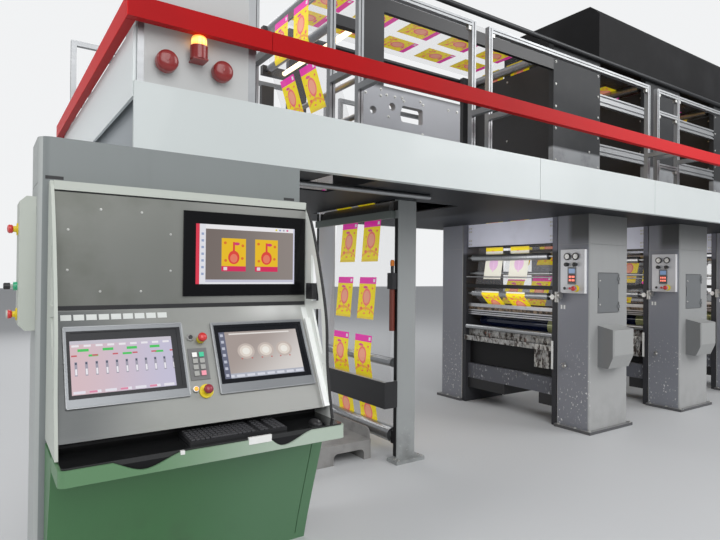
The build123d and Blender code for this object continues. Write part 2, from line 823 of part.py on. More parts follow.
# The outfeed bay: two posts on foot plates with the rollers between them, the guard bars,
# the tower over the deck with its lamp, and the web's sensor
post_right = post_left + post_width
post_foot = 62
bearing_half = 54
bearing_depth = 30
plate_x = (-2895, -1800)
plate_top = 3200
plate_holes = ((-2797, 2980), (-2597, 3040))
plate_window = ((-2512, 2985), (-2486, 3070), (-2256, 3070), (-2256, 2930), (-2494, 2930))
tower_plate_x = (-2898, -2690)
tower_arm = 45
tower_block_x = (-3192, -3062)
tower_block_top = 3485
guard_bar_x = -2650
guard_bar_z = (465, 690)
edge_bar = 12
tube_lamp = (-2950, tower_low)
tube_lamp_radius = 22
sensor_wide = 50
sensor_z = (1480, 1620)
sensor_tube = 24
sensor_tube_low = 1120
sensor_rod = 14
sensor_rod_top = 1700
leg_left = deck_left + 210
leg_back = 2270
leg_size = 140
leg_foot = 40


def outfeed_post():
    """A post of rectangular tube on its foot plate, bored for the ends of two rollers."""
    post = block((post_left, post_right), frame_near, (base_thick, soffit_z[1]))
    post = fillet(post.edges().filter_by(Axis.Z), 10)
    for x, z in ((outfeed_roller_x, outfeed_roller_height), (outfeed_top_x, outfeed_top_height)):
        post -= round_bar(x, z, journal_radius + bore_clearance,
                          (frame_near[1] - shaft_end * 3 - 4, frame_near[1] + 1))
    foot = block((post_left - post_foot, post_right + post_foot * 0.7),
                 (frame_near[0] - 80, frame_near[1]), (0, base_thick))
    return post + foot


def roller_bearing(x, z):
    """The bored block on a post's inner face that carries one end of an outfeed roller."""
    y = (frame_near[1], frame_near[1] + bearing_depth)
    bearing = block((x - bearing_half, x + bearing_half), y, (z - bearing_half, z + bearing_half))
    return bearing - round_bar(x, z, journal_radius + bore_clearance, (y[0] - 1, y[1] + 1))


post = outfeed_post()
corner_leg = block((leg_left, leg_left + leg_size), (leg_back - leg_size, leg_back),
                   (base_thick, soffit_height))
corner_leg += block((leg_left - leg_foot, leg_left + leg_size + leg_foot),
                    (leg_back - leg_size - leg_foot, leg_back + leg_foot), (0, base_thick))
base_x = (-3745, -2638)
base_y = (395, 1415)
tie_plate = block((base_x[1] - 60, post_left), (base_y[1], frame_far[0]), (0, 20))
save("outfeed_posts", [post, mirrored(post), corner_leg, tie_plate])
bearings = [roller_bearing(outfeed_roller_x, outfeed_roller_height),
            roller_bearing(outfeed_top_x, outfeed_top_height)]
save("roller_brackets", bearings + [mirrored(piece) for piece in bearings])
save("outfeed_low_roller", roller(outfeed_roller_x, outfeed_roller_height,
                                  outfeed_roller_radius, journal_radius, face_length))
save("outfeed_top_roller", roller(outfeed_top_x, outfeed_top_height, outfeed_top_radius,
                                  journal_radius, face_length))

upper_plate = block(plate_x, frame_near, (soffit_z[1], plate_top))
for x, z in plate_holes:
    upper_plate -= round_bar(x, z, 34, (frame_near[0] - 1, frame_near[1] + 1))
window = end_profile(plate_window, (frame_near[0] - 1, frame_near[1] + 1))
upper_plate -= fillet(window.edges().filter_by(Axis.Y), 20)
tower_plate = block(tower_plate_x, frame_near, (plate_top + seat_gap, upper_frame_top))
for z in (top_roller_height, tower_low):
    tower_plate += block((tower_x - tower_arm - 13, tower_plate_x[0]), frame_near,
                         (z - tower_arm, z + tower_arm))
far_block = mirrored(block(tower_block_x, frame_near, (soffit_z[1], tower_block_top)))
save("outfeed_plates", [upper_plate, mirrored(upper_plate), tower_plate, mirrored(tower_plate),
                        far_block])

bar = block((guard_bar_x, guard_bar_x + edge_bar), (frame_near[0], frame_far[1]), guard_bar_z)
bar_end = block((guard_bar_x + edge_bar + seat_gap, post_left),
                (frame_near[0], frame_near[0] + edge_bar), guard_bar_z)
top_bar_x = (post_left - 44, post_left - 19)
top_bar_z = (soffit_height - 155, soffit_height - 90)
top_bar_end = block((top_bar_x[0], post_left),
                    (frame_near[1] - edge_bar, frame_near[1] - seat_gap), top_bar_z)
top_bar = block(top_bar_x, span, top_bar_z)
tower_tie = block((tower_plate_x[1], -upper_frame_width / 2),
                  (frame_near[0], frame_near[0] + tie_depth),
                  (upper_frame_top - 300, upper_frame_top - 180))
ends = [bar_end, top_bar_end, tower_tie]
save("outfeed_bars", [bar, top_bar] + ends + [mirrored(end) for end in ends])
save("inspection_lamp", plain_bar(*tube_lamp, tube_lamp_radius))
sensor_right = post_left - seat_gap
sensor_x = sensor_right - sensor_wide / 2
sensor_y = (frame_near[0] + 15, frame_near[0] + 90)
sensor_middle = sum(sensor_y) / 2
sensor = block((sensor_right - sensor_wide, sensor_right), sensor_y, sensor_z)
sensor += upright_bar(sensor_x, sensor_middle, sensor_rod, (sensor_z[1], sensor_rod_top))
sensor += upright_bar(sensor_x, sensor_middle, sensor_tube, (sensor_tube_low, sensor_z[0]))
save("web_sensor", sensor)

# The cast outfeed base, arched along its long sides, with the low plate at its right end
base_height = 165
arch_height = 92
arch_places = (-3400, -3026 + 154)
arch_half = 154
arch_corner = 40
plate_place = -2645
plate_height = 95

outfeed_base = block(base_x, base_y, (0, base_height))
outfeed_base = fillet(outfeed_base.edges().filter_by(Axis.Z), 25)
for x in arch_places:
    arch = block((x - arch_half, x + arch_half), (base_y[0] - 1, base_y[1] + 1),
                 (-1, arch_height))
    outfeed_base -= fillet(arch.edges().filter_by(Axis.Y).group_by(Axis.Z)[-1], arch_corner)
end_plate = block((plate_place - 6, plate_place + 6), (base_y[0] + 25, base_y[1] - 25),
                  (base_height, base_height + plate_height))
top_corners = end_plate.edges().filter_by(Axis.X).group_by(Axis.Z)[-1]
save("outfeed_base", outfeed_base + fillet(top_corners, 60))

# The gray cabinet at the left end, with a rounded corner, a seam and vent slots
seam_z = 2026
cabinet_body = block((cabinet_left, cabinet_right), (fascia_front, fascia_front + cabinet_depth),
                     (0, soffit_height))
front_corner = cabinet_body.edges().filter_by(Axis.Z).group_by(Axis.X)[0].sort_by(Axis.Y)[0]
cabinet_body = fillet(front_corner, cabinet_corner)
cabinet_body -= block((cabinet_left - 1, cabinet_right + 1), (fascia_front - 1, fascia_front + 3),
                      (seam_z, seam_z + 4))
cabinet_body -= block((cabinet_left - 1, cabinet_left + 3),
                      (fascia_front - 1, fascia_front + cabinet_depth + 1), (seam_z, seam_z + 4))
save("console_cabinet", cabinet_body)

side_box_x = (cabinet_left - 70, cabinet_left)
side_box_y = (fascia_front + 60, fascia_front + 255)
side_box_z = (1317, 1964)
side_box = block(side_box_x, side_box_y, side_box_z)
outer_edges = side_box.edges().filter_by(Axis.Y).group_by(Axis.X)[0]
side_box = chamfer(outer_edges, 28)


def side_knob(z, radius, proud):
    """A round button on the side box, with a wider head."""
    y = (side_box_y[0] + side_box_y[1]) / 2
    stem = Pos(side_box_x[0] - proud / 2, y, z) * Rot(0, 90, 0) * Cylinder(radius * 0.6, proud)
    head = Pos(side_box_x[0] - proud + 8, y, z) * Rot(0, 90, 0) * Cylinder(radius, 16)
    return stem + head


for z, radius, proud in ((1808, 20, 40), (1530, 15, 52), (1393, 20, 46)):
    side_box += side_knob(z, radius, proud)
save("side_control_box", side_box)

# The operator's console: a green base, a shelf with a lip, a stainless front that slopes
# below and stands upright above, and curved side frames with slots
panel_sheet = 8
hood_gap = 8
console_x = (console_left + console_plate, cabinet_right)
console_right = cabinet_right + console_plate
slope_top = (console_front, console_split)
slope_bottom = (console_front - slope_run, console_split - slope_drop)
slope_length = math.hypot(slope_run, slope_drop)
slope_normal = (-slope_drop / slope_length, slope_run / slope_length)
front_curve = ((22, console_top), (-29, 1956), (-130, 1726), (-209, 1483), (-246, 1304),
               (-255, 1113), (-280, 954), (-314, shelf_height))
trim_thick = 9
upper_window = ((-77, 1715), (-94, 1722), (-171, 1450), (-77, 1444))
lower_window = ((-90, 1397), (-195, 1403), (-220, 1150), (-200, 1150))
small_window = ((-213, 1095), (-231, 1095), (-238, 1040), (-228, 1040))
window_corner = 4


def front_spline(shift):
    """The curved front edge of a side frame, moved forward by a shift."""
    return Spline(*[(0, console_front + y - shift, z) for y, z in front_curve])


def side_frame(left):
    """A side plate with its curved front edge and three slots."""
    curve = front_spline(0)
    back = fascia_front
    edges = [curve, Line(curve @ 1, (0, back, shelf_height)),
             Line((0, back, shelf_height), (0, back, console_top)),
             Line((0, back, console_top), curve @ 0)]
    plate = Pos(left, 0, 0) * extrude(make_face(edges), amount=console_plate, dir=(1, 0, 0))
    for window in (upper_window, lower_window, small_window):
        points = [(console_front + y, z) for y, z in window]
        cut = side_profile(points, (left - 1, left + console_plate + 1))
        plate -= fillet(cut.edges().filter_by(Axis.X), window_corner)
    return plate


def edge_trim(left):
    """The rubber strip along a side frame's curved edge."""
    inner, outer = front_spline(0), front_spline(trim_thick)
    edges = [inner, Line(inner @ 1, outer @ 1), outer, Line(outer @ 0, inner @ 0)]
    return Pos(left, 0, 0) * extrude(make_face(edges), amount=console_plate, dir=(1, 0, 0))


hood_y = (console_front - 6, fascia_front)
hood_x = (console_x[0] + seat_gap, console_x[1] - seat_gap)
hood = block(hood_x, hood_y, (console_top - hood_strip + hood_gap, console_top))
save("console_frame", [side_frame(console_left), side_frame(cabinet_right), hood])
save("frame_edge_trims", [edge_trim(console_left), edge_trim(cabinet_right)])

inner_run = (-slope_normal[0] * panel_sheet, -slope_normal[1] * panel_sheet)
inner_top = (slope_top[0] + inner_run[0], slope_top[1] + inner_run[1])
inner_bottom = (slope_bottom[0] + inner_run[0], slope_bottom[1] + inner_run[1])
toe = -770
body_top = console_top - hood_strip + hood_gap
console_body = side_profile([(fascia_front, shelf_height), (toe, shelf_height), (toe, 836),
                             (inner_bottom[0] + 18, inner_bottom[1] - 8), inner_bottom, inner_top,
                             (console_front + panel_sheet, console_split),
                             (console_front + panel_sheet, body_top), (fascia_front, body_top)],
                            console_x)
save("console_body", console_body)
upper_panel = block(console_x, (console_front, console_front + panel_sheet),
                    (console_split, console_top - hood_strip))

slope = Plane(origin=(0, *slope_top), x_dir=(1, 0, 0), z_dir=(0, *slope_normal))


def on_slope(x, along, height):
    """A block on the sloping panel: x span, span down the slope, and span off its face."""
    middle = ((x[0] + x[1]) / 2, -(along[0] + along[1]) / 2, (height[0] + height[1]) / 2)
    return slope * Pos(*middle) * Box(x[1] - x[0], along[1] - along[0], height[1] - height[0])


def slope_knob(x, along, radius, height):
    """A round piece on the sloping panel."""
    return slope * Pos(x, -along, (height[0] + height[1]) / 2) * Cylinder(radius,
                                                                         height[1] - height[0])


strip_width = 32
strip_proud = 22
lower_panel = on_slope(console_x, (0, slope_length), (-panel_sheet, 0))
edge_strip = on_slope((console_x[1] - strip_width, console_x[1]), (100, slope_length),
                      (0, strip_proud))
lower_panel -= block((console_x[0] - 1, console_x[1] + 1), (slope_top[0] + 0.1, 0),
                     (console_split - 40, console_split + 40))
save("console_panels", upper_panel + lower_panel + edge_strip)

screen_x = (-4609, -3886)
screen_z = (1478, 1933)
lit_x = (-4544, -3955)
lit_z = (1543, 1867)
bezel_proud = 10
lit_deep = 3
screen_y = (console_front - bezel_proud, console_front)
bezel = block(screen_x, screen_y, screen_z)
save("overview_screen", bezel - block(lit_x, (screen_y[0] - 1, screen_y[0] + lit_deep), lit_z))

touch_proud = 10
touch_places = ((-4903, 288), (-4203, 297))
touch_margin = 28
touch_length = touch_drop * slope_length / slope_drop


def touch_panel(x, along):
    """A flat screen in a bevelled frame, lying on the slope."""
    half_x, half_y = touch_width / 2, touch_length / 2
    panel = on_slope((x - half_x, x + half_x), (along - half_y, along + half_y), (0, touch_proud))
    lit = on_slope((x - half_x + touch_margin, x + half_x - touch_margin),
                   (along - half_y + touch_margin, along + half_y - touch_margin * 1.8),
                   (touch_proud - lit_deep, touch_proud + 1))
    return panel - lit


save("touch_panels", [touch_panel(x, along) for x, along in touch_places])
keypad_x = (-4615, -4517)
keypad_y = (237, 405)
buttons = [on_slope(keypad_x, keypad_y, (0, 4))]
key_size = 24
push_button = (-4593, 178)
small_knob = (-4540, 190)
lamp_button = (-4600, 452)
stop_button = (-4548, 466)
for row in range(4):
    for side in (-1, 1):
        x = sum(keypad_x) / 2 + side * 18
        along = keypad_y[0] + 36 + row * 33
        buttons[0] += on_slope((x - key_size / 2, x + key_size / 2),
                               (along - key_size / 2, along + key_size / 2), (4, 8))
buttons.append(slope_knob(*push_button, 16, (0, 12)))
buttons.append(slope_knob(*small_knob, 15, (0, 30)) + slope_knob(*small_knob, 22, (30, 44)))
buttons.append(slope_knob(*lamp_button, 13, (0, 14)))
buttons.append(slope_knob(*stop_button, 34, (0, 8)) + slope_knob(*stop_button, 15, (8, 34))
               + slope_knob(*stop_button, 22, (34, 50)))
save("console_buttons", buttons)

# The shelf, its lip with two hand cut-outs, the keyboard and mouse on it, and the base
lip_thick = 12
shelf_corner = 30
cut_depth = 48
cut_places = ((-5023, -4900, -4734), (-4310, -4248, -4042))
base_reach = 277
shelf_x = (console_left, console_right)
shelf_y = (shelf_front, fascia_front)
shelf_z = (shelf_height - shelf_thick, shelf_height)
lip_z = (shelf_height - lip_drop - lip_height, shelf_height - lip_drop)


def shelf_plan(inset, z):
    """The shelf's outline with rounded front corners, at an inset from its outside."""
    body = block((shelf_x[0] + inset, shelf_x[1] - inset), (shelf_y[0] + inset, shelf_y[1]), z)
    front = body.edges().filter_by(Axis.Z).group_by(Axis.Y)[0]
    return fillet(front, shelf_corner - inset)


def hand_cut(start, lowest, end):
    """A long dip in the lip's upper edge, with soft ends."""
    y = (shelf_front - 1, shelf_front + lip_thick + 1)
    top = lip_z[1] + 1
    low = lip_z[1] - cut_depth
    curve = Spline((start, y[0], top), ((start + lowest) / 2, y[0], low + cut_depth * 0.4),
                   (lowest, y[0], low), ((lowest + end) / 2, y[0], low + cut_depth * 0.4),
                   (end, y[0], top))
    face = make_face([curve, Line(curve @ 1, curve @ 0)])
    return extrude(face, amount=y[1] - y[0], dir=(0, 1, 0))


shelf = shelf_plan(lip_thick, shelf_z)
save("console_shelf", shelf)
lip = shelf_plan(0, lip_z) - shelf_plan(lip_thick, (lip_z[0] - 1, lip_z[1] + 1))
lip -= block((shelf_x[0] - 1, shelf_x[1] + 1), (fascia_front - base_reach, fascia_front + 1),
             (lip_z[0] - 1, lip_z[1] + 1))
for place in cut_places:
    lip -= hand_cut(*place)
save("console_lip", lip)

base_left = shelf_x[0]
base_right = shelf_x[1] + 29
base_top = shelf_z[0]
base_front = Spline((0, fascia_front - 20, 0), (0, fascia_front - 74, 180),
                    (0, fascia_front - 160, 430), (0, fascia_front - base_reach, base_top))
base_face = make_face([base_front, Line(base_front @ 1, (0, fascia_front, base_top)),
                       Line((0, fascia_front, base_top), (0, fascia_front, 0)),
                       Line((0, fascia_front, 0), base_front @ 0)])
console_base = Pos(base_left, 0, 0) * extrude(base_face, amount=base_right - base_left,
                                              dir=(1, 0, 0))
groove_x = base_right - 70
console_base -= block((groove_x, groove_x + 5), (fascia_front - 400, fascia_front - 10),
                      (40, base_top - 20)) - Pos(0, 6, 0) * console_base
save("console_base", console_base)

keyboard_x = (-4685, -4185)
keyboard_y = (-1030, -845)
keyboard = side_profile([(keyboard_y[0], shelf_height), (keyboard_y[1], shelf_height),
                         (keyboard_y[1], shelf_height + 24), (keyboard_y[0], shelf_height + 14)],
                        keyboard_x)
keyboard = fillet(keyboard.edges().filter_by(Axis.Z), 6)
mouse_place = (-4005, -1000)
mouse = Pos(*mouse_place, shelf_height) * scale(Sphere(30), by=(1, 1.75, 0.8))
mouse -= Pos(*mouse_place, shelf_height - 50) * Box(200, 200, 100)
save("keyboard_and_mouse", [keyboard, mouse])
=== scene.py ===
import math

import bmesh
import bpy
from mathutils import Matrix, Vector


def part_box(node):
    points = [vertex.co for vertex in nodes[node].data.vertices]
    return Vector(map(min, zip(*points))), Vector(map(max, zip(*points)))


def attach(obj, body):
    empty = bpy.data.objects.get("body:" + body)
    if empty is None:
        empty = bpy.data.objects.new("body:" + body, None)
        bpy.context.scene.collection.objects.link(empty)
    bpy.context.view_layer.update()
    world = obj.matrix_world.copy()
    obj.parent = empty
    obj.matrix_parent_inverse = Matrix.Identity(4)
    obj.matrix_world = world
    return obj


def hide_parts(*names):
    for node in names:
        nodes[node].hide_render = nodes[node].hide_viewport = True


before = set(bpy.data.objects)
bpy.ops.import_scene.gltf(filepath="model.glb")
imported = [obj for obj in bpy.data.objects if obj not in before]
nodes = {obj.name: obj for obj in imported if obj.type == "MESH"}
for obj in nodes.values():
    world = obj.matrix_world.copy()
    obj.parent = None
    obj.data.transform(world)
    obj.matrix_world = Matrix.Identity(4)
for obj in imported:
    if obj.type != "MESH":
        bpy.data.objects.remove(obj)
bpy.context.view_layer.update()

# The view of the press: a camera at eye height by the left end of the operator's side,
# turned toward the row of units and almost level.
EYE = Vector((-5.495, -3.605, 1.6))
FOCAL_PIXELS = 559.73
IMAGE_WIDTH = 720
SENSOR_WIDTH = 36.0
YAW, PITCH, ROLL = math.radians(34.175), math.radians(0.5034), math.radians(0.5406)

ahead = Vector((math.sin(YAW) * math.cos(PITCH), math.cos(YAW) * math.cos(PITCH), math.sin(PITCH)))
level = Vector((math.cos(YAW), -math.sin(YAW), 0.0))
above = level.cross(ahead)
right = math.cos(ROLL) * level + math.sin(ROLL) * above
up = -math.sin(ROLL) * level + math.cos(ROLL) * above
camera_data = bpy.data.cameras.new("viewpoint")
camera_data.sensor_width = SENSOR_WIDTH
camera_data.lens = FOCAL_PIXELS * SENSOR_WIDTH / IMAGE_WIDTH
camera_data.clip_end = 200.0
camera = bpy.data.objects.new("viewpoint", camera_data)
bpy.context.scene.collection.objects.link(camera)
turn = Matrix((right, up, -ahead)).transposed()
camera.matrix_world = Matrix.Translation(EYE) @ turn.to_4x4()
bpy.context.scene.camera = camera
bpy.context.scene.view_settings.view_transform = "Standard"

# The columns, their access doors, the guard boxes and the cabinet behind the console: welded
# sheet steel, sprayed in grays. The paint has a fine orange peel and soft soiling, and it is
# chipped and scuffed low down, most of all along the columns' left edges.
UNIT_PITCH = 1.82
UNIT_X = [0.0, UNIT_PITCH, 2 * UNIT_PITCH]
MIDDLE_Y = 0.905
COLUMN_LEFT = -0.345
COLUMN_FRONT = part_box("guard_boxes")[1].y
DOOR_LEFT, DOOR_WIDTH, DOOR_LOW, DOOR_HEIGHT = -0.2, 0.368, 1.23, 0.413
SCUFF_WHITE = (0.84, 0.84, 0.84)
FLOOR_DIRT = (0.055, 0.05, 0.045)


class Value:
    """A shader value that takes part in sums, each of which adds a Math node."""

    def __init__(self, finish, socket):
        self.finish = finish
        self.socket = socket

    def reckon(self, operation, other=0.0, swapped=False):
        pair = (other, self) if swapped else (self, other)
        return self.finish.add("ShaderNodeMath", {"operation": operation}, dict(enumerate(pair)))

    def __add__(self, other):
        return self.reckon("ADD", other)

    def __sub__(self, other):
        return self.reckon("SUBTRACT", other)

    def __rsub__(self, other):
        return self.reckon("SUBTRACT", other, True)

    def __mul__(self, other):
        return self.reckon("MULTIPLY", other)

    def __truediv__(self, other):
        return self.reckon("DIVIDE", other)

    def __mod__(self, other):
        return self.reckon("FLOORED_MODULO", other)

    def __gt__(self, other):
        return self.reckon("GREATER_THAN", other)

    def __lt__(self, other):
        return self.reckon("LESS_THAN", other)

    __radd__ = __add__
    __rmul__ = __mul__

    def largest(self, other):
        """The greater of two values."""
        return self.reckon("MAXIMUM", other)

    def size(self):
        """The value without its sign."""
        return self.reckon("ABSOLUTE")

    def within(self, low, high):
        """1 where the value lies between low and high, and 0 elsewhere."""
        return (self > low) * (self < high)

    def rise(self, low, high):
        """0 up to low, 1 from high, and a smooth slope between."""
        return self.finish.add("ShaderNodeMapRange", {"interpolation_type": "SMOOTHSTEP"},
                               {"Value": self, "From Min": low, "From Max": high})

    def fall(self, low, high):
        """1 up to low, 0 from high, and a smooth slope between."""
        return 1.0 - self.rise(low, high)


class Finish:
    """One material, built on its Principled shader, with the place on the part as x, y, z."""

    def __init__(self, name, colour, rough, metal=0.0, **fixed):
        self.material = bpy.data.materials.new(name)
        self.material.use_nodes = True
        self.tree = self.material.node_tree
        self.shader = self.tree.nodes["Principled BSDF"]
        self.colour = colour
        self.rough = rough
        self.set("Base Color", colour)
        self.set("Roughness", rough)
        self.set("Metallic", metal)
        for socket, value in fixed.items():
            self.set(socket.replace("_", " "), value)
        self.place = self.add("ShaderNodeTexCoord", {}, {}, "Object")
        self.x, self.y, self.z = self.axes(self.place)

    def feed(self, socket, value):
        """Links a worked-out value to a socket, or sets a plain number or colour there."""
        if isinstance(value, Value):
            self.tree.links.new(value.socket, socket)
        elif socket.type == "RGBA":
            socket.default_value = (*value, 1.0)
        else:
            socket.default_value = value

    def set(self, socket, value):
        self.feed(self.shader.inputs[socket], value)

    def add(self, kind, settings, inputs, output=0):
        """A new node with its settings and the values of its sockets."""
        node = self.tree.nodes.new(kind)
        for name, value in settings.items():
            setattr(node, name, value)
        for name, value in inputs.items():
            self.feed(node.inputs[name], value)
        return Value(self, node.outputs[output])

    def axes(self, place):
        """The x, y and z of a place, as three values."""
        first = self.add("ShaderNodeSeparateXYZ", {}, {0: place})
        return [Value(self, socket) for socket in first.socket.node.outputs]

    def noise(self, scale, detail=4.0, stretch=(1.0, 1.0, 1.0), roughness=0.55):
        """Cloudy variation from 0 to 1, stretched along some axes."""
        place = self.add("ShaderNodeVectorMath", {"operation": "MULTIPLY"}, {0: self.place, 1: stretch})
        return self.add("ShaderNodeTexNoise", {}, {"Vector": place, "Scale": scale, "Detail": detail,
                                                   "Roughness": roughness})

    def mix(self, share, first, second):
        """A colour between two colours."""
        return self.add("ShaderNodeMix", {"data_type": "RGBA"}, {0: share, 6: first, 7: second}, 2)

    def layers(self, tone, *coats):
        """A colour with others laid over it in turn, each by its share."""
        for share, colour in coats:
            tone = self.mix(share, tone, colour)
        return tone

    def coat(self, *coats):
        """Lays colours over the finish's own, each by its share."""
        self.colour = self.layers(self.colour, *coats)
        self.set("Base Color", self.colour)

    def roughen(self, change):
        """Adds what varies to the finish's own roughness."""
        self.set("Roughness", self.rough + change)

    def shine(self, colour, strength):
        """Gives off light of a plain or worked-out colour."""
        self.set("Emission Color", colour)
        self.set("Emission Strength", strength)

    def bump(self, height, depth, strength):
        """Raises the surface by a height in metres."""
        self.set("Normal", self.add("ShaderNodeBump", {},
                                    {"Strength": strength, "Distance": depth, "Height": height}))


def give(finish, *names):
    """Puts a finish on whole nodes of the press."""
    for name in names:
        slots = nodes[name].data.materials
        slots.clear()
        slots.append(finish.material)


def worn_paint(name, colour, scuffs, rough=0.42, dirt=0.5):
    """Sprayed paint with orange-peel bump, soft soiling, and scuffs low down."""
    finish = Finish(name, colour, rough, Coat_Weight=0.08, Coat_Roughness=0.35)
    cloud = finish.noise(1.3)
    streak = finish.noise(2.0, stretch=(5.0, 5.0, 0.6))
    low = finish.z.fall(0.02, 0.55)
    grime = low * finish.noise(6.0).rise(0.35, 0.75) * 0.75 * dirt
    marks = finish.noise(38.0, 5.0, (1.0, 1.0, 2.2)).rise(0.66, 0.70) * low * scuffs
    finish.coat(((cloud * streak).rise(0.22, 0.5) * 0.22 * dirt, tuple(c * 0.55 for c in colour)),
                (grime, FLOOR_DIRT), (marks, SCUFF_WHITE))
    finish.roughen(cloud * 0.12 + grime * 0.25)
    finish.bump(finish.noise(420.0, 2.0), 0.0002, 0.35)
    return finish


column_paint = worn_paint("column_gray_paint", (0.33, 0.335, 0.335), 0.3)
along, depth, height = column_paint.x, column_paint.y, column_paint.z
from_left_face = (along + (0.005 - COLUMN_LEFT)) % UNIT_PITCH
# Painted shade on the columns' left faces: a dark bluish tone, with a painted shadow wedge near the top at
# the front.
left_face_shade = column_paint.mix(height.rise(1.87, 2.05) * depth.fall(0.0, 0.08), (0.215, 0.225, 0.265),
                             (0.03, 0.033, 0.038))
# Painted shade: the recesses behind the doors are darkened.
door_recess_shade = (((along - DOOR_LEFT) % UNIT_PITCH).within(-0.001, DOOR_WIDTH + 0.001)
               * height.within(DOOR_LOW - 0.001, DOOR_LOW + DOOR_HEIGHT + 0.001)
               * depth.within(-0.194, 0.1))
chips = (column_paint.noise(44.0, 5.0, (1.0, 1.0, 0.7)).rise(0.625, 0.64)
         * column_paint.noise(4.5, 2.0).rise(0.36, 0.56) * from_left_face.fall(0.012, 0.04))
# Painted shade and light: the top is darkened for the deck's shadow, the lower part is paler for the light
# there, the left faces take their painted shade, the foot plates are dark for the shadow at the floor, and
# the door recesses are dark. The white chips are wear.
column_paint.coat((height.rise(1.82, 2.14) * 0.6, (0.07, 0.072, 0.07)),
                  (height.fall(0.15, 1.3) * 0.45, (0.50, 0.50, 0.495)),
                  (from_left_face.fall(0.0052, 0.0056) * 0.85, left_face_shade),
                  (height.fall(0.029, 0.031), (0.09, 0.09, 0.095)),
                  (door_recess_shade, (0.045, 0.047, 0.05)),
                  (chips * height.fall(0.35, 1.05), SCUFF_WHITE))
give(column_paint, "columns")
cabinet_paint = worn_paint("cabinet_gray_paint", (0.205, 0.225, 0.225), 0.2)
# Painted light: the cabinet's left face is painted lighter.
cabinet_paint.coat((cabinet_paint.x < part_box("console_cabinet")[0].x + 0.020, (0.40, 0.42, 0.41)))
give(cabinet_paint, "console_cabinet")
door_paint = worn_paint("door_gray_paint", (0.160, 0.168, 0.175), 0.2)
give(door_paint, "column_door_1", "column_door_2", "column_door_3")
guard_paint = worn_paint("guard_gray_paint", (0.36, 0.365, 0.36), 0.3)
# Painted shade on the guard boxes' left faces.
guard_side_shade = ((guard_paint.x + 0.205) % UNIT_PITCH) < 0.007
guard_paint.coat((guard_side_shade * 0.8, (0.17, 0.175, 0.18)))
give(guard_paint, "guard_boxes")

# The bolts of the whole press: domed heads on washers, zinc plated. Here they hold the
# columns' foot plates down, and two quarter-turn locks of the same form close each door.
TO_LEFT, TO_FRONT, TO_BACK, TO_TOP = (-1, 0, 0), (0, -1, 0), (0, 1, 0), (0, 0, 1)
FOOT_PLATE_TOP, FOOT_BOLT_OUT = 0.03, 0.365


def mesh_piece(name, build, finish, smooth=False, body="press"):
    """A piece whose mesh is made by a function that fills a bmesh."""
    shape = bmesh.new()
    build(shape)
    data = bpy.data.meshes.new(name)
    shape.to_mesh(data)
    shape.free()
    data.materials.append(finish.material)
    data.polygons.foreach_set("use_smooth", [smooth] * len(data.polygons))
    piece = bpy.data.objects.new(name, data)
    bpy.context.scene.collection.objects.link(piece)
    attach(piece, body)
    return piece


def add_lathe(shape, outline, place, steps):
    """A turned form about its own Z, from (radius, height) points, put at a place."""
    rings = []
    for radius, height in outline:
        if radius < 1e-6:
            rings.append([shape.verts.new(place @ Vector((0, 0, height)))])
            continue
        angles = [2 * math.pi * k / steps for k in range(steps)]
        rings.append([shape.verts.new(place @ Vector((radius * math.cos(a), radius * math.sin(a), height)))
                      for a in angles])
    for low, high in zip(rings, rings[1:]):
        for k in range(steps):
            quad = [low[k % len(low)], low[(k + 1) % len(low)],
                    high[(k + 1) % len(high)], high[k % len(high)]]
            corners = list(dict.fromkeys(quad))
            if len(corners) > 2:
                shape.faces.new(corners)
    for ring, flip in ((rings[0], True), (rings[-1], False)):
        if len(ring) > 2:
            shape.faces.new(ring[::-1] if flip else ring)


def facing(point, direction):
    """The placement of a form whose Z axis points along a direction."""
    tilt = Vector((0, 0, 1)).rotation_difference(Vector(direction)).to_matrix().to_4x4()
    return Matrix.Translation(Vector(point)) @ tilt


def placed(outline, spots, direction):
    """The same turned outline at each spot, all facing one way."""
    return [(outline, facing(spot, direction)) for spot in spots]


def turned(name, forms, finish, steps=32, smooth=False, body="press"):
    """A piece of turned forms, each given by its outline and its placement."""
    def build(shape):
        for outline, place in forms:
            add_lathe(shape, outline, place, steps)
    return mesh_piece(name, build, finish, smooth, body)


zinc = Finish("zinc_plated_steel", (0.60, 0.60, 0.58), 0.28, 1.0)
zinc.roughen(zinc.noise(60.0) * 0.25)


def bolts(name, spots, direction, radius=0.009, body="press"):
    """Like bolts, one at each spot: a washer with a domed head on it."""
    outline = [(radius * 1.5, 0.0), (radius * 1.5, radius * 0.22), (radius * 1.02, radius * 0.25),
               (radius * 0.98, radius * 0.8), (radius * 0.6, radius * 1.05), (0.0, radius * 1.1)]
    return turned(name, placed(outline, spots, direction), zinc, 12, body=body)


foot_bolts = [(x + side * FOOT_BOLT_OUT, y, FOOT_PLATE_TOP) for x in UNIT_X for side in (-1, 1)
              for near in (-0.215, -0.05, 0.15) for y in (near, 2 * MIDDLE_Y - near)]
bolts("column_anchor_bolts", foot_bolts, TO_TOP, 0.012)
for k, x in enumerate(UNIT_X):
    locks = [(x + DOOR_LEFT + 0.034, COLUMN_FRONT - 0.002, DOOR_LOW + DOOR_HEIGHT * share)
             for share in (0.2, 0.8)]
    bolts(f"door_locks_{k + 1}", locks, TO_FRONT, 0.008, f"door_{k + 1}")

# The stainless control boxes on the columns: brushed sheet, with two gauges, two regulator
# knobs, a display over lit digits, and buttons. The side toward the operator is painted near
# white as painted light.
BOX_FRONT, BOX_BACK_Y, BOX_BOTTOM = COLUMN_LEFT - 0.040, 0.122, 1.43
BUTTON_HEIGHT, STOP_ALONG = 0.050, 0.190
steel_brushed = Finish("brushed_stainless", (0.62, 0.63, 0.66), 0.30, 0.2)
steel_brushed.roughen(steel_brushed.noise(3.0, stretch=(2.0, 90.0, 90.0)) * 0.22)
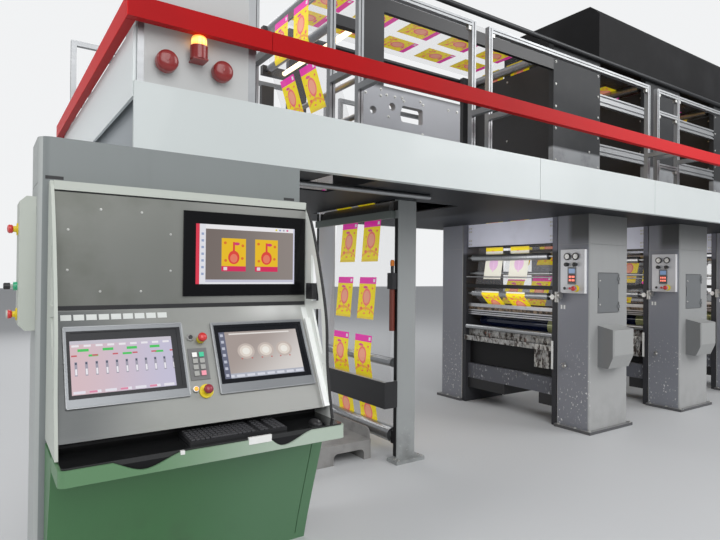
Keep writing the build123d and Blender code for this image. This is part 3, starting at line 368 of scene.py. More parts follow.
# Painted light: the face toward the operator is near white. The darker clouds are patchy tone.
steel_brushed.coat((steel_brushed.noise(2.2).rise(0.4, 0.7) * 0.5, (0.47, 0.48, 0.51)),
                   (steel_brushed.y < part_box("unit_control_boxes")[0].y + 0.002, (0.95, 0.95, 0.96)))
give(steel_brushed, "unit_control_boxes")

black_plastic = Finish("black_moulded_plastic", (0.018, 0.018, 0.02), 0.42)
black_plastic.bump(black_plastic.noise(900.0, 2.0), 0.0002, 0.3)
gauge_white = Finish("gauge_dial", (0.80, 0.80, 0.78), 0.25, Coat_Weight=0.8)
display_blue = Finish("small_display", (0.10, 0.16, 0.30), 0.2, Coat_Weight=0.6)
display_blue.shine((0.25, 0.40, 0.65), 0.35)
digit_red = Finish("lit_digits", (0.60, 0.05, 0.04), 0.3)
digit_red.shine((1.0, 0.28, 0.20), 1.2)
lamp_red = Finish("red_push_button", (0.62, 0.03, 0.03), 0.3, Coat_Weight=0.5)
lamp_yellow = Finish("yellow_collar", (0.80, 0.62, 0.02), 0.4)


def add_block(shape, low, high, turn=None, bevel=0.0):
    """A block between two corners, with softened edges where a bevel is given."""
    low, high = Vector(low), Vector(high)
    made = bmesh.ops.create_cube(shape, size=1.0)["verts"]
    sizes = Matrix.Diagonal((*(high - low), 1.0))
    move = Matrix.Translation((low + high) / 2)
    bmesh.ops.transform(shape, matrix=move @ sizes, verts=made)
    if bevel:
        edges = list({edge for vert in made for edge in vert.link_edges})
        made = bmesh.ops.bevel(shape, geom=edges, offset=bevel, segments=2, profile=0.6,
                               affect="EDGES")["verts"]
        made = list({vert for vert in made if vert.is_valid})
    if turn:
        bmesh.ops.transform(shape, matrix=turn, verts=made)


def blocks(name, corners, finish, bevel=0.0, turn=None):
    """A piece of blocks, each given by two corners and, where it differs, its bevel."""
    def build(shape):
        for low, high, *own in corners:
            add_block(shape, low, high, turn, own[0] if own else bevel)
    return mesh_piece(name, build, finish)


def on_boxes(out, along, height):
    """A spot on each control box: out from its face, along it, and over its lower edge."""
    return [(x + BOX_FRONT - out, BOX_BACK_Y - along, BOX_BOTTOM + height) for x in UNIT_X]


def flat_on_boxes(out, along, height):
    """The corners of a flat block on each control box, from its range in each direction."""
    return list(zip(on_boxes(out[1], along[1], height[0]), on_boxes(out[0], along[0], height[1])))


gauge_spots = on_boxes(0.014, 0.086, 0.383) + on_boxes(0.014, 0.186, 0.383)
knob_spots = on_boxes(0.0005, 0.086, 0.299) + on_boxes(0.0005, 0.186, 0.299)


def gauge_marks(shape):
    """The scale strokes and the needle of each dial."""
    for x, y, z in gauge_spots:
        for step in range(11):
            spin = Matrix.Rotation(math.radians(225 - 27 * step), 4, "X")
            place = Matrix.Translation((x - 0.0024, y, z)) @ spin
            add_block(shape, (-0.0002, 0.019, -0.0007), (0.0002, 0.0245, 0.0007), place)
        place = Matrix.Translation((x - 0.0026, y, z)) @ Matrix.Rotation(math.radians(150), 4, "X")
        add_block(shape, (-0.0002, -0.006, -0.0009), (0.0002, 0.022, 0.0009), place)


gauge_ring = [(0.036, -0.012), (0.0385, 0.0), (0.037, 0.004), (0.0275, 0.004), (0.0270, 0.001),
              (0.0, 0.001)]
gauge_dial = [(0.0268, 0.0012), (0.0264, 0.0022), (0.0, 0.0022)]
regulator_knob = [(0.019, 0.0), (0.0185, 0.016), (0.022, 0.019), (0.022, 0.036), (0.019, 0.041),
                  (0.0, 0.042)]
turned("gauge_rings", placed(gauge_ring, gauge_spots, TO_LEFT), black_plastic, 36)
turned("gauge_dials", placed(gauge_dial, gauge_spots, TO_LEFT), gauge_white)
mesh_piece("gauge_marks", gauge_marks, black_plastic)
turned("pressure_knobs", placed(regulator_knob, knob_spots, TO_LEFT), black_plastic, 28)
# Two small blank tags sit under each control box.
blocks("column_tags", [((x + COLUMN_LEFT - 0.0015, y, 1.258), (x + COLUMN_LEFT, y + 0.019, 1.300))
                       for x in UNIT_X for y in (0.127, 0.091)], gauge_white)
lit_digits = [corners for low in (0.124, 0.160) for near in (0.108, 0.126, 0.146, 0.162)
              for corners in flat_on_boxes((0.008, 0.009), (near, near + 0.011), (low, low + 0.022))]
blocks("unit_displays", flat_on_boxes((0.006, 0.008), (0.104, 0.176), (0.208, 0.256)),
       display_blue, 0.0006)
blocks("unit_digit_windows", flat_on_boxes((0.006, 0.008), (0.100, 0.180), (0.112, 0.196)),
       black_plastic, 0.0006)
blocks("unit_lit_digits", lit_digits, digit_red)
blocks("unit_fields", flat_on_boxes((0.006, 0.0068), (0.090, 0.190), (0.092, 0.272)),
       Finish("display_field", (0.15, 0.16, 0.17), 0.4))
for name, along, radius, finish in (("unit_black_buttons", 0.066, 0.0150, black_plastic),
                                    ("unit_red_buttons", 0.128, 0.0125, lamp_red)):
    button = [(radius, 0.0), (radius, 0.006), (radius - 0.0015, 0.008), (0.0, 0.008)]
    turned(name, placed(button, on_boxes(0.020, along, BUTTON_HEIGHT), TO_LEFT), finish, 24)
collar = [(0.036, 0.0), (0.036, 0.004), (0.029, 0.0055), (0.0285, 0.030)]
stop_head = [(0.016, 0.0), (0.016, 0.010), (0.024, 0.014), (0.025, 0.026), (0.018, 0.034), (0.0, 0.036)]
turned("unit_yellow_collars", placed(collar, on_boxes(0.0, STOP_ALONG, BUTTON_HEIGHT), TO_LEFT),
       lamp_yellow)
turned("unit_stop_buttons", placed(stop_head, on_boxes(0.034, STOP_ALONG, BUTTON_HEIGHT), TO_LEFT),
       lamp_red, smooth=True)

# The air regulators beside the control boxes and the drain taps lower down: mottled zinc
# castings, screwed into the columns' left sides.
fitting_metal = Finish("cast_fitting_metal", (0.30, 0.30, 0.30), 0.45, 0.9)
fitting_metal.coat((fitting_metal.noise(25.0), (0.70, 0.69, 0.66)))
give(fitting_metal, "air_and_drain_fittings")

# The side frames of the units: thick plate with rows of screws. The paint is dark beside the
# printing mechanism, light gray at the deck and just over it, and dark again on top, where the
# dark is painted shade.
FRAME_FRONT = 0.195
frame_paint = worn_paint("side_frame_paint", (0.20, 0.205, 0.215), 0.2, rough=0.5)
frame_paint.set("Specular IOR Level", 0.25)
# Painted shade: dark over 3.0 m. Lower down the frames are darker under 2.26 m and darker still under 1.88
# m.
frame_paint.set("Base Color", frame_paint.layers(
    (0.36, 0.375, 0.39),
    (frame_paint.z.rise(2.98, 3.02), (0.030, 0.032, 0.035)),
    (frame_paint.z.fall(2.25, 2.27), (0.15, 0.155, 0.19)),
    (frame_paint.z.fall(1.86, 1.90), (0.035, 0.036, 0.042)),
    (frame_paint.noise(5.0).rise(0.45, 0.75) * 0.35, (0.05, 0.05, 0.05))))
give(frame_paint, "side_frames")
screw_spots = [(x + side * 0.385, FRAME_FRONT, z) for x in UNIT_X for side in (-1, 1)
               for z in (2.72, 2.86, 3.20, 3.44, 3.68, 3.92)]
screw_spots += [(x + offset, FRAME_FRONT, z) for x in UNIT_X
                for offset, z in ((0.22, 2.74), (0.255, 2.74), (0.22, 3.02))]
bolts("side_frame_screws", screw_spots, TO_FRONT)
bolts("side_frame_back_screws", [(x, 2 * MIDDLE_Y - y, z) for x, y, z in screw_spots], TO_BACK)

# The dryer hoods: insulated boxes in dark sheet, with a light bolted panel under the deck
# that ends in a folded black rim, and a black panel above it.
hood_dark = Finish("hood_dark_paint", (0.010, 0.010, 0.011), 0.6, Specular_IOR_Level=0.12)
hood_dark.coat((hood_dark.noise(1.6).rise(0.4, 0.8), (0.022, 0.022, 0.024)))
give(hood_dark, "dryer_hoods", "overhead_duct")
panel_paint = Finish("hood_panel_paint", (0.014, 0.014, 0.016), 0.4)
panel_lower = panel_paint.z.fall(2.25, 2.27)
panel_paint.coat((panel_lower, (0.72, 0.74, 0.86)),
                 (panel_paint.noise(3.0).rise(0.45, 0.8) * 0.25 * panel_lower, (0.40, 0.40, 0.46)))
panel_paint.roughen(panel_paint.noise(12.0) * 0.2)
give(panel_paint, "hood_panels")
panel_bolts = [(x - 0.312, y, z) for x in UNIT_X for y in (0.275, 0.305, 1.505, 1.535)
               for z in (2.00, 2.045, 2.16, 2.20)]
panel_bolts += [(x - 0.344, y, z) for x in UNIT_X for z in (2.4, 2.8, 3.2, 3.6, 3.9)
                for y in (0.30, MIDDLE_Y, 1.51)]
bolts("hood_panel_bolts", panel_bolts, TO_LEFT, 0.008)
blocks("hood_rims", [((x - 0.318, 0.257, 1.950), (x - 0.298, 1.553, 1.968)) for x in UNIT_X],
       black_plastic, 0.002)

# Tie bars of grooved aluminium between the upper frames, with dark tubes along their tops,
# and the anodised profiles of the guard frames and the soffit tube.
anodised = Finish("anodised_aluminium", (0.38, 0.39, 0.40), 0.30, 0.85)
anodised.roughen(anodised.noise(4.0, stretch=(0.5, 8.0, 8.0)) * 0.2)
anodised.coat((anodised.noise(2.5).rise(0.4, 0.8) * 0.5, (0.25, 0.26, 0.27)))
give(anodised, "soffit_tube", "guard_frames")
tie_metal = Finish("tie_bar_metal", (0.38, 0.39, 0.40), 0.38, 0.6)
tie_metal.coat((tie_metal.z.rise(3.95, 4.0), (0.045, 0.047, 0.05)))
give(tie_metal, "tie_bars")

# The gravure cylinders: chromed steel, wet with dark-blue ink on the face, with yellow-green
# ink at the near end and bare steel journals.
ink_wet = Finish("inked_cylinder", (0.004, 0.006, 0.022), 0.12, 0.2, Coat_Weight=0.8, Coat_Roughness=0.05)
ink_wet.coat((ink_wet.noise(9.0, stretch=(1.0, 0.3, 1.0)), (0.010, 0.020, 0.075)),
             ((MIDDLE_Y - ink_wet.y).rise(0.440, 0.444), (0.60, 0.64, 0.32)),
             ((ink_wet.y - MIDDLE_Y).size().rise(0.594, 0.596), (0.50, 0.50, 0.50)))
give(ink_wet, "gravure_cylinder_1", "gravure_cylinder_2", "gravure_cylinder_3")

# The impression rollers and the outfeed's upper roller: black rubber sleeves, matt with
# polished bands, on steel shafts.
rubber_sleeve = Finish("rubber_sleeve", (0.020, 0.020, 0.021), 0.42)
rubber_sleeve.coat(((rubber_sleeve.y - MIDDLE_Y).size().rise(0.5795, 0.5805), (0.45, 0.45, 0.45)))
rubber_sleeve.roughen(rubber_sleeve.noise(14.0, stretch=(1.0, 3.0, 1.0)) * 0.25)
give(rubber_sleeve, "impression_roller_1", "impression_roller_2", "impression_roller_3",
     "outfeed_top_roller")

# Guide rollers and the low outfeed roller: ground aluminium tube, softly bright, with a few
# ink rings.
roller_metal = Finish("ground_roller", (0.44, 0.45, 0.46), 0.20, 0.9)
rings = roller_metal.noise(3.0, 6.0, (0.2, 26.0, 0.2))
roller_metal.coat((rings.rise(0.55, 0.75) * 0.6, (0.08, 0.085, 0.10)))
roller_metal.roughen(rings * 0.22)
give(roller_metal, "guide_rollers", "outfeed_low_roller")

# The printed web: thin clear film that runs from the last unit over every roller to the
# outfeed. Its pouch panels, two across and one every 548 mm, are yellow with a pink band,
# and pale at the first unit, where only part of the colours is on.
WEB_NEAR, WEB_WIDTH, WEB_THICK, WEB_GAP = 0.340, 1.080, 0.0006, 0.00035
TOP_Z, TOP_R, GUIDE_R = 4.040, 0.050, 0.038
web_route = []
for x in reversed(UNIT_X):
    web_route += [(x + 0.330, TOP_Z, TOP_R, 1), (x + 0.242, 1.900, GUIDE_R, -1),
                  (x - 0.060, 1.198, 0.062, -1), (x - 0.296, 1.382, GUIDE_R, -1),
                  (x - 0.300, 1.828, 0.042, 1), (x - 0.330, TOP_Z, TOP_R, 1)]
web_route += [(-3.127, TOP_Z, TOP_R, 1), (-3.140, 3.645, GUIDE_R, 1), (-2.720, 2.400, GUIDE_R, 1),
              (-2.450, 2.186, 0.075, -1), (-2.450, 0.826, 0.040, 1), (-2.460, 0.194, 0.065, -1)]


def web_path():
    """Points along the film's middle with its distance run, arcs drawn in short chords."""
    headings = [math.pi]
    for (x1, z1, r1, w1), (x2, z2, r2, w2) in zip(web_route, web_route[1:]):
        first, second = (w * (r + WEB_GAP + WEB_THICK / 2) for r, w in ((r1, w1), (r2, w2)))
        heading = math.atan2(z2 - z1, x2 - x1)
        heading -= math.asin((second - first) / math.hypot(x2 - x1, z2 - z1))
        headings.append(heading)
    headings.append(math.pi)
    points = []
    for (x, z, r, w), start, end in zip(web_route, headings, headings[1:]):
        reach = w * (r + WEB_GAP + WEB_THICK / 2)
        bend = (end - start + math.pi) % (2 * math.pi) - math.pi
        chords = max(2, int(abs(bend) / 0.12))
        for k in range(chords + 1):
            heading = start + bend * k / chords
            points.append((x + reach * math.sin(heading), z - reach * math.cos(heading)))
    run, rows = 0.0, []
    for point, before in zip(points, points[:1] + points):
        run += math.dist(point, before)
        rows.append((*point, run))
    return rows


def web_sheet(shape):
    """The film as one strip of quads, with the width and the distance run as its UV."""
    layer = shape.loops.layers.uv.new("film")
    rows = [[(shape.verts.new((x, WEB_NEAR + WEB_WIDTH * share, z)), share * WEB_WIDTH, run)
             for share in (0.0, 0.5, 1.0)] for x, z, run in web_path()]
    for one, two in zip(rows, rows[1:]):
        for k in range(2):
            corners = [one[k], one[k + 1], two[k + 1], two[k]]
            face = shape.faces.new([corner[0] for corner in corners])
            for loop, (_, across, run) in zip(face.loops, corners):
                loop[layer].uv = (across, run)


def oval(across, upward, middle, radii):
    """1 inside an ellipse, and 0 outside it."""
    a = (across - middle[0]) / radii[0]
    b = (upward - middle[1]) / radii[1]
    return (a * a + b * b) < 1.0


film = Finish("printed_film", (0.55, 0.56, 0.60), 0.26, Coat_Weight=0.1)
film.material.surface_render_method = "BLENDED"
across, run, _ = film.axes(film.add("ShaderNodeUVMap", {"uv_map": "film"}, {}))
LABEL_WIDTH, LABEL_LENGTH, ROW_PITCH = 0.275, 0.398, 0.548
LANE_PITCH, FIRST_LANE = 0.390, 0.2975
# The run at which a row of panels starts in the outfeed bay, from its height there.
ROW_TOP = 2.125
path_rows = web_path()
row_start = next(run_a + (run_b - run_a) * (za - ROW_TOP) / (za - zb)
                 for (xa, za, run_a), (_, zb, run_b) in zip(path_rows, path_rows[1:])
                 if za > ROW_TOP >= zb and abs(xa + 2.38) < 0.03)
u = (across - FIRST_LANE) % LANE_PITCH
v = (run - (row_start % ROW_PITCH)) % ROW_PITCH
inside = (u.within(0.0, LABEL_WIDTH) * v.within(0.0, LABEL_LENGTH)
          * across.within(FIRST_LANE, FIRST_LANE + 2 * LANE_PITCH))
band = v.within(0.0, 0.063)
from_middle = u - LABEL_WIDTH / 2
fruit = oval(u, v, (0.1375, 0.190), (0.068, 0.082))
stem = (from_middle.size() < 0.008) * v.within(0.090, 0.320)
wave = (v - 0.296 - from_middle * from_middle * 2.6).size() < 0.010
dots = oval(u, v, (0.045, 0.285), (0.018, 0.018))
for middle, radii in (((0.215, 0.300), (0.022, 0.016)), ((0.070, 0.335), (0.012, 0.012)),
                      ((0.210, 0.250), (0.010, 0.014)), ((0.050, 0.105), (0.014, 0.010)),
                      ((0.225, 0.155), (0.009, 0.009)), ((0.160, 0.345), (0.020, 0.007))):
    dots = dots.largest(oval(u, v, middle, radii))
half_printed = film.x.within(-0.37, -0.25) * film.z.within(1.40, 1.905)
pale_ink = film.layers((0.82, 0.80, 0.70), (fruit, (0.76, 0.50, 0.72)), (stem, (0.80, 0.56, 0.76)))
ink = film.layers((0.93, 0.74, 0.015), (stem, (0.84, 0.22, 0.26)), (wave, (0.90, 0.40, 0.06)),
                  (fruit, (0.88, 0.19, 0.17)),
                  (oval(u, v, (0.1375, 0.190), (0.050, 0.062)), (0.90, 0.38, 0.26)),
                  (oval(u, v, (0.170, 0.096), (0.034, 0.013)), (0.74, 0.10, 0.26)),
                  (dots, (0.86, 0.20, 0.10)), (band, (0.84, 0.04, 0.42)),
                  (band * u.within(0.018, 0.050) * v.within(0.016, 0.046), (0.80, 0.72, 0.78)),
                  (v.within(LABEL_LENGTH - 0.022, LABEL_LENGTH), (0.82, 0.62, 0.05)),
                  (half_printed, pale_ink))
film.coat((inside, ink))
film.set("Alpha", inside * 0.82 + 0.16)
# Painted light: the printed panels give off a weak glow in their own colours.
film.shine(film.mix(inside, (0.0, 0.0, 0.0), ink), 0.34)
film_piece = mesh_piece("printed_film_web", web_sheet, film)
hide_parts("web")

# The ink trays with their drain boxes and steel end strips, the doctor blades and the
# beams in the units: folded sheet crusted with dried ink, brown on the splash plates and
# spattered white on the beams. The end strips are drawn white as a painted highlight.
tray_steel = Finish("inky_tray_steel", (0.42, 0.42, 0.41), 0.35)
crust = tray_steel.noise(13.0, 6.0, (1.0, 1.3, 0.8), 0.65).rise(0.44, 0.58)
runs = tray_steel.noise(21.0, 6.0, (1.0, 1.4, 0.55), 0.7).rise(0.49, 0.60)
tray_steel.coat((crust, (0.035, 0.024, 0.020)), (runs * 0.8, (0.66, 0.65, 0.62)),
                (tray_steel.noise(7.0).rise(0.60, 0.68), (0.26, 0.07, 0.04)))
tray_steel.set("Metallic", 0.7 - crust * 0.6)
tray_steel.roughen(crust * 0.3)
tray_steel.bump(crust, 0.003, 0.7)
give(tray_steel, "ink_trays")
blocks("drain_boxes", [((x - 0.335, 0.302, 0.590), (x - 0.285, 0.498, 0.792)) for x in UNIT_X],
       tray_steel, 0.004)
# Painted highlight: the steel end strips are drawn in white for their shine.
blocks("tray_strips", [((x - 0.3575, 0.233, 0.600), (x - 0.3515, 0.257, 0.905)) for x in UNIT_X],
       gauge_white, 0.001)

blade_steel = Finish("blade_holder_steel", (0.70, 0.70, 0.72), 0.3)
splash = blade_steel.z.within(1.178, 1.214)
long_grooves = blade_steel.z.within(1.130, 1.138) + blade_steel.z.within(1.152, 1.164)
mottle = blade_steel.noise(30.0, 6.0, (1.0, 0.7, 1.0))
brown = blade_steel.mix(mottle.rise(0.35, 0.65), (0.022, 0.014, 0.010), (0.30, 0.22, 0.15))
blade_steel.coat((mottle.rise(0.5, 0.8) * 0.4, (0.20, 0.18, 0.17)),
                 (long_grooves, (0.02, 0.02, 0.022)), (splash, brown))
blade_steel.set("Metallic", 0.85 - splash * 0.8)
give(blade_steel, "doctor_blades")

beam_paint = Finish("splashed_beam_paint", (0.105, 0.11, 0.13), 0.5)
spatter = (beam_paint.noise(34.0, 6.0, (1.0, 1.2, 0.7)).rise(0.58, 0.62)
           * beam_paint.noise(4.0, 2.0).rise(0.42, 0.6))
beam_paint.coat((spatter * 0.85, (0.55, 0.56, 0.58)),
                (beam_paint.noise(8.0).rise(0.55, 0.75) * 0.6, (0.06, 0.055, 0.05)),
                (beam_paint.z.fall(0.307, 0.310), (0.02, 0.02, 0.022)))
give(beam_paint, "cross_beams")

# The deck: white folded fascia panels, soffit and beams painted near black as painted shade,
# patterned floor plates, the white end wall and the cabinet on the left end.
fascia_white = Finish("fascia_white_paint", (0.70, 0.74, 0.735), 0.38, Coat_Weight=0.15)
fascia_white.coat((fascia_white.noise(0.8).rise(0.35, 0.8) * 0.35, (0.56, 0.60, 0.60)),
                  (fascia_white.x.fall(-4.6, -1.5), (0.55, 0.59, 0.585)))
fascia_white.bump(fascia_white.noise(420.0, 2.0), 0.0002, 0.2)
give(fascia_white, "fascia_panels")
give(Finish("end_wall_paint", (0.80, 0.84, 0.84), 0.4), "deck_end_wall")
cabinet_white = Finish("end_cabinet_paint", (0.47, 0.48, 0.475), 0.42)
cabinet_white.coat((cabinet_white.noise(1.4).rise(0.4, 0.8) * 0.4, (0.38, 0.39, 0.385)))
give(cabinet_white, "end_cabinet")
# Painted shade: the deck's underside is near black. The beams' left ends are lighter gray.
DECK_SHADE_BLACK = (0.016, 0.018, 0.022)
give(Finish("soffit_shade_paint", DECK_SHADE_BLACK, 0.5, Specular_IOR_Level=0.18), "soffit_plates")
beam_dark = Finish("deck_beam_paint", DECK_SHADE_BLACK, 0.5, Specular_IOR_Level=0.18)
beam_dark.coat((beam_dark.x < -4.79, (0.40, 0.43, 0.45)))
give(beam_dark, "deck_beams")
tread = Finish("tread_plate", (0.16, 0.165, 0.17), 0.4, 0.6)
tread.coat((tread.noise(3.0), (0.30, 0.31, 0.31)))
TEARS = 120.0
tear = (tread.x * TEARS).reckon("SINE") * (tread.y * TEARS).reckon("SINE")
tread.bump(tear.rise(0.5, 0.8), 0.0015, 0.8)
give(tread, "deck_floors")

# The red safety rail: box section in signal-red paint, with end caps and splice plates behind
# its joints. Painted light makes it lighter toward its right end and on its left end face.
rail_low, rail_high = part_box("red_rail")
rail_red = Finish("rail_red_paint", (0.40, 0.004, 0.006), 0.42, Specular_IOR_Level=0.1)
# Painted light: lighter red toward the right end and on the left end face.
rail_red.coat((rail_red.noise(2.0).rise(0.4, 0.8) * 0.4, (0.30, 0.004, 0.006)),
              (rail_red.x.rise(-2.5, 1.0), (0.70, 0.022, 0.026)),
              (rail_red.x < rail_low.x + 0.004, (0.62, 0.004, 0.006)))
give(rail_red, "red_rail")
near_rail, far_rail = rail_low.y + 0.025, rail_high.y - 0.025
rail_caps = [((rail_high.x, y - 0.025, 2.886), (rail_high.x + 0.004, y + 0.025, 2.996), 0.0015)
             for y in (near_rail, far_rail)]
splices = [((-4.20, back, 2.91), (-4.03, back + 0.006, 2.97), 0.001)
           for back in (near_rail + 0.0255, far_rail - 0.0315)]
blocks("rail_caps_and_splices", rail_caps + splices, rail_red)

# The guard frames: square aluminium profiles with a dark groove down the middle of each
# upright and along each bar, on both long sides, and zinc angle brackets in the corners.
groove_black = Finish("profile_groove", (0.03, 0.03, 0.032), 0.6)
GUARD_Y, PROFILE, HALF_GROOVE, GROOVE_SKIN, BRACKET = -0.305, 0.045, 0.004, 0.0006, 0.035
GUARD_PLACES = ((-4.090, -3.520), (-3.285, -2.155), (-1.955, 0.545), (0.740, 1.183, 3.230),
                (3.330, 4.200))
BAR_HEIGHTS, GATE_HEIGHTS = (3.6925, 3.1375), (3.4525, 2.8595)
guard_bars = [(a + PROFILE, b, z) for places in GUARD_PLACES for a, b in zip(places, places[1:])
              for z in BAR_HEIGHTS] + [(0.785, 1.183, z) for z in GATE_HEIGHTS]
grooves = []
for near in (GUARD_Y - GROOVE_SKIN, 2 * MIDDLE_Y - GUARD_Y):
    far = near + GROOVE_SKIN
    grooves += [((x - HALF_GROOVE, near, 2.61), (x + HALF_GROOVE, far, 3.705))
                for x in (place + PROFILE / 2 for places in GUARD_PLACES for place in places)]
    grooves += [((left + 0.005, near, z - HALF_GROOVE), (end - 0.005, far, z + HALF_GROOVE))
                for left, end, z in guard_bars]
blocks("profile_grooves", grooves, groove_black)
blocks("corner_brackets", [((x, GUARD_Y + 0.006, z - 0.0585), (x + BRACKET, GUARD_Y + 0.039, z - 0.023))
                           for left, end, z in guard_bars for x in (left, end - BRACKET)], zinc, 0.003)

# The horns and the warning light on the white cabinet, under its vent slots: dark-red
# mouldings with ribbed grilles, and an amber lens with fine vertical ribs over a lit bulb.
CABINET_FACE = -0.555
SLOT_NEAR, SLOT_FAR = CABINET_FACE - 0.0006, CABINET_FACE + 0.0001
BULB_HEIGHT = 2.852
horn_red = Finish("horn_red_plastic", (0.23, 0.010, 0.010), 0.28, Coat_Weight=0.4)
horn_red.roughen(horn_red.noise(40.0) * 0.15)
give(horn_red, "horns", "beacon_base")
amber = Finish("amber_lens", (0.92, 0.42, 0.06), 0.18, Coat_Weight=0.6)
glow = 1.0 - ((amber.z - BULB_HEIGHT) / 0.034).size()
amber.shine(amber.mix(glow, (0.75, 0.14, 0.01), (1.0, 0.62, 0.20)), 1.5)
give(amber, "beacon_lens")


def horn_grilles(shape):
    """Concentric ribs on each horn's front, round a small cap."""
    for x, z in ((-4.694, 2.716), (-4.391, 2.723)):
        for radius, proud in ((0.050, 0.053), (0.040, 0.069), (0.030, 0.0735)):
            rib = [(radius - 0.003, -0.004), (radius - 0.0025, 0.0035), (radius + 0.0005, 0.0035),
                   (radius + 0.002, -0.004)]
            add_lathe(shape, rib, facing((x, CABINET_FACE - proud, z), TO_FRONT), 40)
        add_lathe(shape, [(0.012, -0.004), (0.011, 0.002), (0.0, 0.003)],
                  facing((x, CABINET_FACE - 0.079, z), TO_FRONT), 24)


def lens_ribs(shape):
    """Fine upright ribs round the lens."""
    count = 28
    for k in range(count):
        spin = Matrix.Translation((-4.527, -0.605, 0)) @ Matrix.Rotation(2 * math.pi * k / count, 4, "Z")
        add_block(shape, (0.0385, -0.0015, 2.832), (0.0412, 0.0015, 2.866), spin, bevel=0.0007)


mesh_piece("horn_grilles", horn_grilles, horn_red)
mesh_piece("beacon_lens_ribs", lens_ribs, amber)
blocks("cabinet_slots", [((-4.36, SLOT_NEAR, 3.30), (-4.30, SLOT_FAR, 3.315))]
       + [((-4.62, SLOT_NEAR, 3.42 + 0.03 * k), (-4.42, SLOT_FAR, 3.43 + 0.03 * k)) for k in range(5)],
       groove_black)

# The outfeed bay: gray posts, the ones behind painted pale as painted light, with thin black
# sheets down their left faces between the bars as painted shade, black bars and brackets, the
# tower's screwed plates over the deck, near black on top as painted shade, and the mottled
# cast base.
POST_LEFT = -2.516
post_paint = worn_paint("post_gray_paint", (0.32, 0.335, 0.335), 0.4)
# Painted light: the posts behind are painted pale.
post_paint.coat((post_paint.y > 1.0, (0.86, 0.88, 0.93)))
give(post_paint, "outfeed_posts")
bar_black = Finish("bar_black_paint", (0.009, 0.009, 0.010), 0.45, Specular_IOR_Level=0.3)
give(bar_black, "roller_brackets", "unit_bars")
bar_mixed = Finish("outfeed_bar_paint", (0.016, 0.016, 0.018), 0.4)
bar_mixed.coat((bar_mixed.z.within(2.08, 2.17), (0.17, 0.195, 0.18)))
give(bar_mixed, "outfeed_bars")
plate_dark = Finish("outfeed_plate_paint", (0.42, 0.43, 0.46), 0.45)
# Painted shade: the plates go near black over 3.2 m.
plate_dark.coat((plate_dark.noise(3.0).rise(0.4, 0.8) * 0.4, (0.30, 0.30, 0.32)),
                (plate_dark.z.rise(3.16, 3.21), (0.022, 0.022, 0.024)))
give(plate_dark, "outfeed_plates")
cast_gray = Finish("cast_base_paint", (0.30, 0.293, 0.285), 0.5)
cast_gray.coat((cast_gray.noise(6.0).rise(0.4, 0.75) * 0.6, (0.12, 0.115, 0.11)))
cast_gray.bump(cast_gray.noise(120.0), 0.0006, 0.5)
give(cast_gray, "outfeed_base")
# Painted shade: thin black sheets over the posts' left faces between the bars.
shade_sheets = [((POST_LEFT - 0.0035, y, low), (POST_LEFT - 0.0002, y + 0.040, high))
          for y in (0.205, 1.565) for low, high in ((0.04, 0.463), (0.692, 2.092), (2.163, 2.245))]
blocks("post_shade_sheets", shade_sheets, bar_black, 0.0008)
blocks("guard_bar_edge", [((-2.657, 0.198, 0.6885), (-2.635, 1.612, 0.6925))], zinc, 0.0008)
plate_screws = [(-2.875, 3.166), (-2.875, 3.112), (-2.719, 3.166), (-2.719, 3.112), (-2.658, 3.129),
                (-2.569, 3.127), (-2.490, 3.133), (-2.471, 3.109), (-2.284, 3.137), (-2.254, 3.114),
                (-2.636, 2.948), (-2.259, 2.849), (-1.95, 3.12), (-1.84, 3.12), (-1.84, 2.70)]
bolts("outfeed_plate_bolts", [(x, FRAME_FRONT, z) for x, z in plate_screws], TO_FRONT)
bolts("post_foot_bolts", [(x, y, FOOT_PLATE_TOP) for x in (-2.548, -2.292)
                          for y in (0.135, 0.18, 1.63, 1.675)], TO_TOP, 0.010)

# The small parts round the bay: the warm inspection lamp, the web's sensor with its orange
# cap, and the pale faces of the round knobs at the units' left edges.
lamp_light = Finish("warm_lamp_tube", (0.90, 0.86, 0.76), 0.4)
lamp_light.shine((1.0, 0.80, 0.50), 2.2)
give(lamp_light, "inspection_lamp")
sensor_paint = Finish("sensor_housing", (0.17, 0.035, 0.022), 0.4)
sensor_paint.coat((sensor_paint.z.rise(1.478, 1.480), (0.02, 0.02, 0.022)))
give(sensor_paint, "web_sensor")
sensor_cap = [(0.016, 0.0), (0.018, 0.006), (0.018, 0.040), (0.012, 0.052), (0.0, 0.054)]
turned("sensor_cap", placed(sensor_cap, [(-2.5412, 0.2475, 1.680)], TO_TOP),
       Finish("orange_cap", (0.80, 0.22, 0.02), 0.4), 28)
knob_face = [(0.029, -0.001), (0.029, 0.002), (0.023, 0.003), (0.0, 0.003)]
knob_places = [(x - 0.385, 0.225, 1.382) for x in UNIT_X]
turned("end_knob_faces", placed(knob_face, knob_places, TO_LEFT), gauge_white)

# The console: cream side frames with rubber trims, brushed stainless panels, a green base
# with a pale lip, and a glossy black shelf. The side control box has the frames' cream. The
# right side frame and the stainless panels carry painted light.
cream_paint = worn_paint("cream_paint", (0.50, 0.53, 0.48), 0.2, dirt=0.4)
